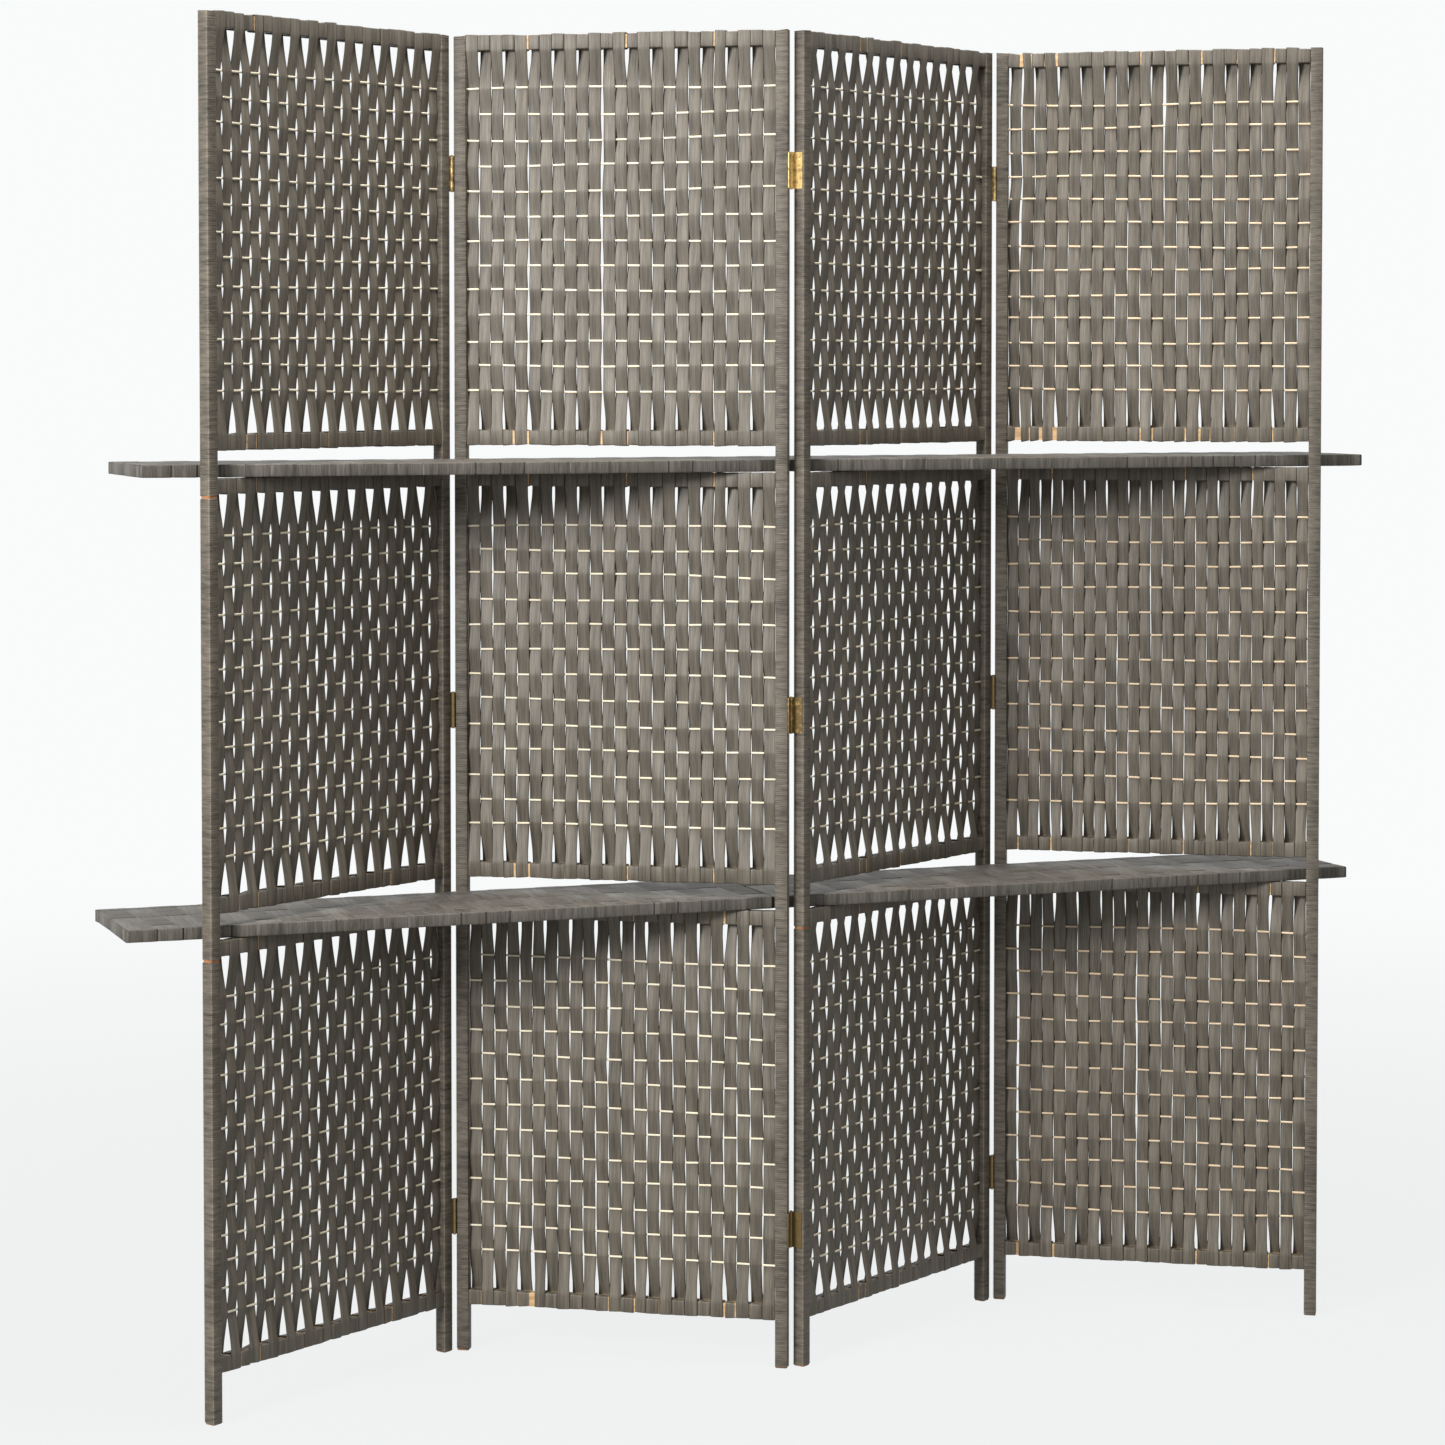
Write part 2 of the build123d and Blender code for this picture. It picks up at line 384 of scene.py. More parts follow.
def slit_push(tree, strip, along, slit, width):
    """How far a slit pushes a strip to its side: most next to it, and less on strips farther off."""
    parts = add(tree, "ShaderNodeSeparateXYZ", (0, slit))
    away = add(tree, "ShaderNodeMath", (0, strip), (1, parts.outputs["X"]), operation="SUBTRACT")
    centred = add(tree, "ShaderNodeMath", (0, away), (1, 0.5), operation="SUBTRACT")
    sign = add(tree, "ShaderNodeMath", (0, centred), operation="SIGN")
    distance = add(tree, "ShaderNodeMath", (0, centred), operation="ABSOLUTE")
    fade = add(tree, "ShaderNodeMath", (0, SLIT_FADE), (1, distance), operation="POWER")
    share = add(tree, "ShaderNodeMath", (0, sign), (1, fade), operation="MULTIPLY")
    before = add(tree, "ShaderNodeMath", (0, parts.outputs["Y"]), (1, SLIT_END), operation="SUBTRACT")
    after = add(tree, "ShaderNodeMath", (0, parts.outputs["Z"]), (1, SLIT_END), operation="ADD")
    rise = add(tree, "ShaderNodeMapRange", ("Value", along), ("From Min", before),
               ("From Max", parts.outputs["Y"]), interpolation_type="SMOOTHSTEP")
    fall = add(tree, "ShaderNodeMapRange", ("Value", along), ("From Min", after),
               ("From Max", parts.outputs["Z"]), interpolation_type="SMOOTHSTEP")
    bell = add(tree, "ShaderNodeMath", (0, rise), (1, fall), operation="MULTIPLY")
    open_share = add(tree, "ShaderNodeMath", (0, bell), (1, share), operation="MULTIPLY")
    half = add(tree, "ShaderNodeMath", (0, width), (1, SLIT_PUSH), operation="MULTIPLY")
    return add(tree, "ShaderNodeMath", (0, open_share), (1, half), operation="MULTIPLY")


def strip_tree():
    """Repeats the guide's routes along a row and makes each a flat paper strip that strays a little."""
    tree = new_tree(
        "Paper strips",
        ("Strips", "NodeSocketInt", 25), ("Spacing", "NodeSocketVector", (0.017, 0, 0)),
        ("First kind", "NodeSocketInt", 0), ("Width", "NodeSocketFloat", 0.017),
        ("Thickness", "NodeSocketFloat", 0.001), ("Wander", "NodeSocketFloat", 0.001),
        ("Row wander", "NodeSocketFloat", 0.0),
        ("Upper rail", "NodeSocketFloat", 0.0), ("Lower rail", "NodeSocketFloat", 0.0),
        ("Upper lumps", "NodeSocketFloat", 0.0), ("Lower lumps", "NodeSocketFloat", 0.0),
        ("Gaps on rails", "NodeSocketFloat", 0.0),
        *((f"Slit {number}", "NodeSocketVector", (0, 0, 0)) for number in SLIT_NUMBERS),
        *((f"Slit {number} width", "NodeSocketFloat", 0.0) for number in SLIT_NUMBERS),
        ("Width change", "NodeSocketFloat", 0.08), ("Seed", "NodeSocketFloat", 0.0),
        ("Material", "NodeSocketMaterial", None),
    )
    given = add(tree, "NodeGroupInput").outputs
    wires = add(tree, "GeometryNodeMeshToCurve", ("Mesh", given["Guide"]))
    kind = add(tree, "GeometryNodeInputNamedAttribute", ("Name", "kind"), data_type="INT")
    routes = add(tree, "GeometryNodeSplitToInstances", ("Geometry", wires),
                 ("Group ID", kind.outputs["Attribute"]), domain="CURVE")
    less = add(tree, "ShaderNodeMath", (0, given["Strips"]), (1, 1.0), operation="SUBTRACT")
    half = add(tree, "ShaderNodeMath", (0, less), (1, -0.5), operation="MULTIPLY")
    start = add(tree, "ShaderNodeVectorMath", (0, given["Spacing"]), ("Scale", half), operation="SCALE")
    row = add(tree, "GeometryNodeMeshLine", ("Count", given["Strips"]), ("Start Location", start),
              ("Offset", given["Spacing"]), mode="OFFSET", count_mode="TOTAL")
    index = add(tree, "GeometryNodeInputIndex")
    shifted = add(tree, "ShaderNodeMath", (0, index), (1, given["First kind"]), operation="ADD")
    turn = add(tree, "ShaderNodeMath", (0, shifted), (1, 2.0), operation="MODULO")
    copies = add(tree, "GeometryNodeInstanceOnPoints", ("Points", row.outputs["Mesh"]),
                 ("Instance", routes.outputs["Instances"]), ("Pick Instance", True),
                 ("Instance Index", turn))
    numbered = add(tree, "GeometryNodeStoreNamedAttribute", ("Geometry", copies), ("Name", "strip"),
                   ("Value", index), data_type="FLOAT", domain="INSTANCE")
    real = add(tree, "GeometryNodeRealizeInstances", ("Geometry", numbered))

    # Each strip strays to its side
    strip = add(tree, "GeometryNodeInputNamedAttribute", ("Name", "strip"),
                data_type="FLOAT").outputs["Attribute"]
    free = add(tree, "GeometryNodeInputNamedAttribute", ("Name", "free"),
               data_type="FLOAT").outputs["Attribute"]
    along = add(tree, "GeometryNodeSplineParameter").outputs["Length"]
    place = add(tree, "ShaderNodeCombineXYZ", ("X", strip), ("Y", along), ("Z", given["Seed"]))
    side = add(tree, "ShaderNodeVectorMath", (0, given["Spacing"]), operation="NORMALIZE")
    stray = None
    for scale, weight in STRAY:
        read = add(tree, "ShaderNodeVectorMath", (0, place), (1, scale), operation="MULTIPLY")
        noise = add(tree, "ShaderNodeTexNoise", ("Vector", read), ("Scale", 1.0), ("Detail", 1.0))
        level = add(tree, "ShaderNodeMath", (0, noise.outputs["Fac"]), (1, 0.5), operation="SUBTRACT")
        part = add(tree, "ShaderNodeMath", (0, level), (1, weight), operation="MULTIPLY")
        stray = add(tree, "ShaderNodeMath", (0, stray), (1, part)) if stray else part
    far = add(tree, "ShaderNodeMath", (0, stray), (1, given["Wander"]), operation="MULTIPLY")
    for number in SLIT_NUMBERS:
        push = slit_push(tree, strip, along, given[f"Slit {number}"], given[f"Slit {number} width"])
        far = add(tree, "ShaderNodeMath", (0, far), (1, push))

    # Some strips sit askew on a rail, so that its wood shows, and each one makes a lump of its own there
    fixed = add(tree, "ShaderNodeMath", (0, 1.0), (1, free), operation="SUBTRACT")
    spot = add(tree, "GeometryNodeInputPosition")
    height = add(tree, "ShaderNodeSeparateXYZ", (0, spot)).outputs["Z"]
    above = add(tree, "ShaderNodeMath", (0, height), (1, given["Upper rail"]), operation="GREATER_THAN")
    below = add(tree, "ShaderNodeMath", (0, height), (1, given["Lower rail"]), operation="LESS_THAN")
    draw = add(tree, "ShaderNodeCombineXYZ", ("X", strip), ("Y", 0.0), ("Z", given["Seed"]))
    luck = add(tree, "ShaderNodeTexWhiteNoise", ("Vector", draw))
    askew = add(tree, "ShaderNodeMath", (0, luck.outputs["Value"]), (1, given["Gaps on rails"]),
                operation="LESS_THAN")
    loose = add(tree, "ShaderNodeMath", (0, askew), (1, fixed), operation="MULTIPLY")
    aside = add(tree, "ShaderNodeMath", (0, loose), (1, ASKEW_SHIFT), (2, far), operation="MULTIPLY_ADD")
    sideways = add(tree, "ShaderNodeVectorMath", (0, side), ("Scale", aside), operation="SCALE")
    raised = add(tree, "ShaderNodeMath", (0, above), (1, given["Upper lumps"]), operation="MULTIPLY")
    lumps = add(tree, "ShaderNodeMath", (0, below), (1, given["Lower lumps"]), (2, raised),
                operation="MULTIPLY_ADD")
    second = add(tree, "ShaderNodeSeparateXYZ", (0, luck.outputs["Color"])).outputs["Z"]
    bulge = add(tree, "ShaderNodeMath", (0, lumps), (1, second), operation="MULTIPLY")
    level = row_stray(tree, given["Seed"], given["Row wander"])
    lift = add(tree, "ShaderNodeMath", (0, level), (1, free), (2, bulge), operation="MULTIPLY_ADD")
    upward = add(tree, "ShaderNodeCombineXYZ", ("X", 0.0), ("Y", 0.0), ("Z", lift))
    offset = add(tree, "ShaderNodeVectorMath", (0, sideways), (1, upward), operation="ADD")
    moved = add(tree, "GeometryNodeSetPosition", ("Geometry", real), ("Offset", offset))

    # The width follows the route's own shares and swells and narrows a little
    share = add(tree, "GeometryNodeInputNamedAttribute", ("Name", "width_share"), data_type="FLOAT")
    quick = add(tree, "ShaderNodeVectorMath", (0, place), (1, SWELL_NOISE), operation="MULTIPLY")
    swell = add(tree, "ShaderNodeTexNoise", ("Vector", quick), ("Scale", 1.0), ("Detail", 1.0))
    around = add(tree, "ShaderNodeMath", (0, swell.outputs["Fac"]), (1, 0.5), operation="SUBTRACT")
    whole = add(tree, "ShaderNodeMath", (0, loose), (1, -ASKEW_NARROWING), (2, 1.0), operation="MULTIPLY_ADD")
    change = add(tree, "ShaderNodeMath", (0, around), (1, given["Width change"]), (2, whole),
                 operation="MULTIPLY_ADD")
    radius = add(tree, "ShaderNodeMath", (0, share.outputs["Attribute"]), (1, change),
                 operation="MULTIPLY")
    measured = add(tree, "GeometryNodeStoreNamedAttribute", ("Geometry", moved), ("Name", "along"),
                   ("Value", along), data_type="FLOAT", domain="POINT")

    # The profile is nearly flat with thin edges: the circle's heights are raised to a small power
    ring = add(tree, "GeometryNodeCurvePrimitiveCircle", ("Resolution", STRIP_SIDES), ("Radius", 1.0),
               mode="RADIUS")
    spot = add(tree, "GeometryNodeInputPosition")
    parts = add(tree, "ShaderNodeSeparateXYZ", (0, spot))
    depth = add(tree, "ShaderNodeMath", (0, parts.outputs["Y"]), operation="ABSOLUTE")
    flat = add(tree, "ShaderNodeMath", (0, depth), (1, FLATNESS), operation="POWER")
    sign = add(tree, "ShaderNodeMath", (0, parts.outputs["Y"]), operation="SIGN")
    height = add(tree, "ShaderNodeMath", (0, flat), (1, sign), operation="MULTIPLY")
    shape = add(tree, "ShaderNodeCombineXYZ", ("X", parts.outputs["X"]), ("Y", height), ("Z", 0.0))
    flattened = add(tree, "GeometryNodeSetPosition", ("Geometry", ring), ("Position", shape))
    marked = add(tree, "GeometryNodeStoreNamedAttribute", ("Geometry", flattened), ("Name", "across"),
                 ("Value", parts.outputs["X"]), data_type="FLOAT", domain="POINT")
    half_width = add(tree, "ShaderNodeMath", (0, given["Width"]), (1, 0.5), operation="MULTIPLY")
    half_thick = add(tree, "ShaderNodeMath", (0, given["Thickness"]), (1, 0.5), operation="MULTIPLY")
    size = add(tree, "ShaderNodeCombineXYZ", ("X", half_width), ("Y", half_thick), ("Z", 1.0))
    profile = add(tree, "GeometryNodeTransform", ("Geometry", marked), ("Scale", size))
    body = add(tree, "GeometryNodeCurveToMesh", ("Curve", measured),
               ("Profile Curve", profile), ("Scale", radius), ("Fill Caps", True))
    across = add(tree, "GeometryNodeInputNamedAttribute", ("Name", "across"), data_type="FLOAT")
    sideways = add(tree, "ShaderNodeMath", (0, across.outputs["Attribute"]), (1, half_width),
                   operation="MULTIPLY")
    length_read = add(tree, "GeometryNodeInputNamedAttribute", ("Name", "along"), data_type="FLOAT")
    flat = add(tree, "ShaderNodeCombineXYZ", ("X", sideways), ("Y", length_read.outputs["Attribute"]))
    mapped = add(tree, "GeometryNodeStoreNamedAttribute", ("Geometry", body), ("Name", "fibre_map"),
                 ("Value", flat), data_type="FLOAT2", domain="CORNER")
    return finish_tree(tree, mapped, given["Material"])


def winding_tree():
    """Winds twisted cord round the guide's upright lines: a square tube with a groove at every turn."""
    tree = new_tree(
        "Cord winding",
        ("Turn height", "NodeSocketFloat", 0.0028), ("Post width", "NodeSocketFloat", 0.017),
        ("Corner radius", "NodeSocketFloat", 0.002), ("Ridge depth", "NodeSocketFloat", 0.0004),
        ("Seed", "NodeSocketFloat", 0.0), ("Material", "NodeSocketMaterial", None),
    )
    given = add(tree, "NodeGroupInput").outputs
    wires = add(tree, "GeometryNodeMeshToCurve", ("Mesh", given["Guide"]))
    third = add(tree, "ShaderNodeMath", (0, given["Turn height"]), (1, TURN_RINGS), operation="DIVIDE")
    rings = add(tree, "GeometryNodeResampleCurve", ("Curve", wires), ("Length", third),
                mode="LENGTH")
    index = add(tree, "GeometryNodeInputIndex")
    beat = add(tree, "ShaderNodeMath", (0, index), (1, TURN_RINGS), operation="MODULO")
    groove = add(tree, "ShaderNodeMath", (0, beat), (1, 0.5), operation="LESS_THAN")
    spot = add(tree, "GeometryNodeInputPosition")
    seeded = add(tree, "ShaderNodeCombineXYZ", ("X", given["Seed"]), ("Y", given["Seed"]), ("Z", 0.0))
    read = add(tree, "ShaderNodeVectorMath", (0, spot), (1, seeded), operation="ADD")
    lumps = add(tree, "ShaderNodeTexNoise", ("Vector", read), ("Scale", 1 / CORD_LUMP), ("Detail", 2.0))
    depth = add(tree, "ShaderNodeMath", (0, given["Ridge depth"]), (1, given["Post width"]),
                operation="DIVIDE")
    cut = add(tree, "ShaderNodeMath", (0, groove), (1, lumps.outputs["Fac"]), operation="MULTIPLY")
    inward = add(tree, "ShaderNodeMath", (0, cut), (1, -4.0), operation="MULTIPLY")
    swell = add(tree, "ShaderNodeMath", (0, lumps.outputs["Fac"]), (1, 1.2), (2, inward),
                operation="MULTIPLY_ADD")
    level = add(tree, "ShaderNodeMath", (0, swell), (1, 0.6), operation="SUBTRACT")
    radius = add(tree, "ShaderNodeMath", (0, level), (1, depth), (2, 1.0),
                 operation="MULTIPLY_ADD")
    square = add(tree, "GeometryNodeCurvePrimitiveQuadrilateral", ("Width", given["Post width"]),
                 ("Height", given["Post width"]), mode="RECTANGLE")
    eased = add(tree, "GeometryNodeFilletCurve", ("Curve", square), ("Count", 2),
                ("Radius", given["Corner radius"]), mode="POLY")
    # Each profile point keeps its distance out as a share of the post's width: it marks the corners' arcs,
    # where the cord gets its painted highlight and paler rubbing
    outward = add(tree, "ShaderNodeVectorMath", (0, spot), operation="LENGTH")
    share = add(tree, "ShaderNodeMath", (0, outward.outputs["Value"]), (1, given["Post width"]),
                operation="DIVIDE")
    painted_light_marks = add(tree, "GeometryNodeStoreNamedAttribute", ("Geometry", eased), ("Name", "corner"),
               ("Value", share), data_type="FLOAT", domain="POINT")
    tube = add(tree, "GeometryNodeCurveToMesh", ("Curve", rings), ("Profile Curve", painted_light_marks),
               ("Scale", radius), ("Fill Caps", True))

    # The turns don't run level: each face's stretch of cord is lifted or lowered a little
    stretch = add(tree, "ShaderNodeVectorMath", (0, read), (1, TILT_NOISE),
                  operation="MULTIPLY")
    tilt = add(tree, "ShaderNodeTexNoise", ("Vector", stretch), ("Scale", 1.0), ("Detail", 1.0))
    lift = add(tree, "ShaderNodeMath", (0, tilt.outputs["Fac"]), (1, 0.5), operation="SUBTRACT")
    rise = add(tree, "ShaderNodeMath", (0, lift), (1, given["Turn height"]), operation="MULTIPLY")
    much = add(tree, "ShaderNodeMath", (0, rise), (1, TURN_TILT), operation="MULTIPLY")
    upward = add(tree, "ShaderNodeCombineXYZ", ("X", 0.0), ("Y", 0.0), ("Z", much))
    uneven = add(tree, "GeometryNodeSetPosition", ("Geometry", tube), ("Offset", upward))
    return finish_tree(tree, uneven, given["Material"])


def stick_tree():
    """Makes each of the guide's lines a thin peeled stick that isn't quite straight or even."""
    tree = new_tree(
        "Peeled sticks",
        ("Diameter", "NodeSocketFloat", 0.003), ("Row wander", "NodeSocketFloat", 0.001),
        ("Seed", "NodeSocketFloat", 0.0), ("Material", "NodeSocketMaterial", None),
    )
    given = add(tree, "NodeGroupInput").outputs
    wires = add(tree, "GeometryNodeMeshToCurve", ("Mesh", given["Guide"]))
    lines = add(tree, "GeometryNodeResampleCurve", ("Curve", wires), ("Count", STICK_STEPS), mode="COUNT")
    level = row_stray(tree, given["Seed"], given["Row wander"])
    upward = add(tree, "ShaderNodeCombineXYZ", ("X", 0.0), ("Y", 0.0), ("Z", level))
    bent = add(tree, "GeometryNodeSetPosition", ("Geometry", lines), ("Offset", upward))
    spot = add(tree, "GeometryNodeInputPosition")
    knots = add(tree, "ShaderNodeTexNoise", ("Vector", spot), ("Scale", KNOT_NOISE), ("Detail", 1.0))
    radius = add(tree, "ShaderNodeMath", (0, knots.outputs["Fac"]), (1, 0.3), (2, 0.85),
                 operation="MULTIPLY_ADD")
    half = add(tree, "ShaderNodeMath", (0, given["Diameter"]), (1, 0.5), operation="MULTIPLY")
    ring = add(tree, "GeometryNodeCurvePrimitiveCircle", ("Resolution", STICK_SIDES), ("Radius", half),
               mode="RADIUS")
    body = add(tree, "GeometryNodeCurveToMesh", ("Curve", bent), ("Profile Curve", ring),
               ("Scale", radius), ("Fill Caps", True))
    return finish_tree(tree, body, given["Material"])


# Materials

# Real sizes of the patterns. Paper and wood fibres are finer than the render can show, so streaks, lines and
# grain are drawn as coarse as they need to be to show
STRIP_WIDTH = 17 * MM
STREAK_LENGTH = 35.7 * MM
CLOUD_LENGTH = 143 * MM
CORD_PATCH = 25 * MM
CORD_FIBRE = 1.11 * MM
CORD_CLOUD = 55.6 * MM
TARNISH_SPOT = 6.25 * MM
ROLLER_GRAIN = 3.33 * MM
STICK_GRAIN = (25.0, 25.0, 1.11)
POST_GRAIN = (16.7, 16.7, 71.4)
RAIL_GRAIN = (71.4, 16.7, 3.85)


def new_material(name):
    """A material with only a Principled shader and its output; returns it, its tree and the shader."""
    material = bpy.data.materials.new(name)
    material.use_nodes = True
    tree = material.node_tree
    tree.nodes.clear()
    shader = add(tree, "ShaderNodeBsdfPrincipled")
    add(tree, "ShaderNodeOutputMaterial", ("Surface", shader))
    return material, tree, shader


def set_stops(ramp, *stops):
    """Gives a colour ramp's ends their places and colours."""
    for element, (place, shade) in zip(ramp.color_ramp.elements, stops):
        element.position = place
        element.color = shade


def fibre_strip(name, dark, light, fibre_width, sheen_direction, gloss, edge_shade, lean_shade=0.0,
                upright_shade=1.0):
    """Flat strips of pressed paper fibre, unrolled and flattened: long fine streaks and a low sheen."""
    material, tree, shader = new_material(name)
    read = {key: add(tree, "ShaderNodeAttribute", attribute_name=key,
                     attribute_type="GEOMETRY").outputs["Fac"]
            for key in ("across", "along", "strip")}
    # Streaks one fibre bundle wide and some centimetres long
    number = add(tree, "ShaderNodeMath", (0, read["strip"]), (1, 5.3), operation="MULTIPLY")
    place = add(tree, "ShaderNodeCombineXYZ", ("X", read["across"]), ("Y", read["along"]), ("Z", number))
    bundles = STRIP_WIDTH / 2 / fibre_width
    stretch = add(tree, "ShaderNodeVectorMath", (0, place), (1, (bundles, 1 / STREAK_LENGTH, 1.0)),
                  operation="MULTIPLY")
    streaks = add(tree, "ShaderNodeTexNoise", ("Vector", stretch), ("Scale", 1.0), ("Detail", 5.0),
                  ("Roughness", 0.68)).outputs["Fac"]
    broad = add(tree, "ShaderNodeVectorMath", (0, place), (1, (1.1, 1 / CLOUD_LENGTH, 1.0)),
                operation="MULTIPLY")
    cloud = add(tree, "ShaderNodeTexNoise", ("Vector", broad), ("Scale", 1.0), ("Detail", 2.0))
    mixed = add(tree, "ShaderNodeMath", (0, cloud.outputs["Fac"]), (1, 0.45), operation="MULTIPLY")
    level = add(tree, "ShaderNodeMath", (0, streaks), (1, 0.75), (2, mixed), operation="MULTIPLY_ADD")
    ramp = add(tree, "ShaderNodeValToRGB", (0, level))
    set_stops(ramp, (0.44, dark), (0.75, light))
    # Painted shade: each strip is drawn darker towards its edges, where its neighbours and the sticks shade
    # it
    edge = add(tree, "ShaderNodeMath", (0, read["across"]), operation="ABSOLUTE")
    painted_edge_shade = add(tree, "ShaderNodeMapRange", ("Value", edge), ("From Min", 0.86), ("From Max", 1.0),
              ("To Min", 1.0), ("To Max", edge_shade))
    # Painted shade: a board's upright sides are drawn darker than its top, which gets more light
    facing = add(tree, "ShaderNodeSeparateXYZ",
                 (0, add(tree, "ShaderNodeNewGeometry").outputs["True Normal"]))
    upward = add(tree, "ShaderNodeMath", (0, facing.outputs["Z"]), operation="ABSOLUTE")
    painted_upright_shade = add(tree, "ShaderNodeMapRange", ("Value", upward), ("From Min", 0.3), ("From Max", 0.9),
                  ("To Min", upright_shade), ("To Max", 1.0))
    # On upright sides the painted edge shade is left out
    if upright_shade < 1:
        upright = add(tree, "ShaderNodeMath", (0, 1.0), (1, upward), operation="SUBTRACT")
        painted_edge_shade = add(tree, "ShaderNodeMath", (0, painted_edge_shade), (1, upright), operation="MAXIMUM")
    # Painted light and shade: faces that lean up a little are drawn paler, and those that lean down darker
    painted_lean_shade = add(tree, "ShaderNodeMapRange", ("Value", facing.outputs["Z"]), ("From Min", -0.1),
                ("From Max", 0.1), ("To Min", 1.0 - lean_shade), ("To Max", 1.0 + lean_shade))
    # The painted edge, upright and lean shades make one tone
    painted_light_marks = add(tree, "ShaderNodeMath", (0, painted_edge_shade), (1, painted_upright_shade), operation="MULTIPLY")
    tone = add(tree, "ShaderNodeMath", (0, painted_light_marks), (1, painted_lean_shade), operation="MULTIPLY")
    shade = add(tree, "ShaderNodeVectorMath", (0, ramp.outputs["Color"]), ("Scale", tone), operation="SCALE")
    rough = add(tree, "ShaderNodeMapRange", ("Value", streaks), ("To Min", 0.62), ("To Max", 0.42))
    bump = add(tree, "ShaderNodeBump", ("Height", streaks), ("Strength", 0.35), ("Distance", 0.4 * MM))
    # The fibres lie along the strip, so its sheen spreads to the sides and changes fast where it bends
    tangent = add(tree, "ShaderNodeTangent", direction_type="UV_MAP", uv_map="fibre_map")
    feed(tree, shader, ("Base Color", shade), ("Roughness", rough), ("Normal", bump), ("Tangent", tangent))
    shader.inputs["Anisotropic"].default_value = sheen_direction
    shader.inputs["Specular IOR Level"].default_value = gloss
    return material


def twisted_cord(winding):
    """Twisted paper cord wound in close turns: slanting fibre lines on each turn and a faint sheen."""
    material, tree, shader = new_material("Twisted paper cord")
    spot = add(tree, "ShaderNodeTexCoord").outputs["Object"]
    turns = add(tree, "ShaderNodeVectorMath", (0, spot),
                (1, (1 / CORD_PATCH, 1 / CORD_PATCH, 0.8 / winding.turn_height)), operation="MULTIPLY")
    tone = add(tree, "ShaderNodeTexNoise", ("Vector", turns), ("Scale", 1.0), ("Detail", 2.0),
               ("Roughness", 0.6))
    fine = add(tree, "ShaderNodeTexNoise", ("Vector", spot), ("Scale", 1 / CORD_FIBRE), ("Detail", 2.0))
    broad = add(tree, "ShaderNodeTexNoise", ("Vector", spot), ("Scale", 1 / CORD_CLOUD), ("Detail", 2.0))
    first = add(tree, "ShaderNodeMath", (0, tone.outputs["Fac"]), (1, 0.6), operation="MULTIPLY")
    second = add(tree, "ShaderNodeMath", (0, fine.outputs["Fac"]), (1, 0.25), (2, first),
                 operation="MULTIPLY_ADD")
    level = add(tree, "ShaderNodeMath", (0, broad.outputs["Fac"]), (1, 0.3), (2, second),
                operation="MULTIPLY_ADD")
    ramp = add(tree, "ShaderNodeValToRGB", (0, level))
    set_stops(ramp, (0.42, winding.cord_dark), (0.7, winding.cord_light))
    # The posts' corners are paler from rubbing, and a painted highlight runs along each corner's arc
    outward = add(tree, "ShaderNodeAttribute", attribute_name="corner",
                  attribute_type="GEOMETRY").outputs["Fac"]
    rubbed_and_highlit = add(tree, "ShaderNodeMapRange", ("Value", outward), ("From Min", 0.645), ("From Max", 0.665),
                 ("To Min", 1.0), ("To Max", 1.7))
    pale = add(tree, "ShaderNodeVectorMath", (0, ramp.outputs["Color"]), ("Scale", rubbed_and_highlit), operation="SCALE")
    bump = add(tree, "ShaderNodeBump", ("Height", second), ("Strength", 0.6), ("Distance", 0.5 * MM))
    feed(tree, shader, ("Base Color", pale), ("Normal", bump), ("Roughness", 0.55))
    shader.inputs["Specular IOR Level"].default_value = 0.5
    return material


def grained_wood(name, dark, light, roughness, grain):
    """Bare wood, split or sawn: fine long grain; grain is its real size along X, Y and Z in mm."""
    material, tree, shader = new_material(name)
    spot = add(tree, "ShaderNodeTexCoord").outputs["Object"]
    stretch = add(tree, "ShaderNodeVectorMath", (0, spot), (1, [1 / (size * MM) for size in grain]),
                  operation="MULTIPLY")
    lines = add(tree, "ShaderNodeTexNoise", ("Vector", stretch), ("Scale", 1.0),
                ("Detail", 4.0)).outputs["Fac"]
    ramp = add(tree, "ShaderNodeValToRGB", (0, lines))
    set_stops(ramp, (0.3, dark), (0.7, light))
    bump = add(tree, "ShaderNodeBump", ("Height", lines), ("Strength", 0.2), ("Distance", 0.2 * MM))
    feed(tree, shader, ("Base Color", ramp), ("Normal", bump), ("Roughness", roughness))
    return material


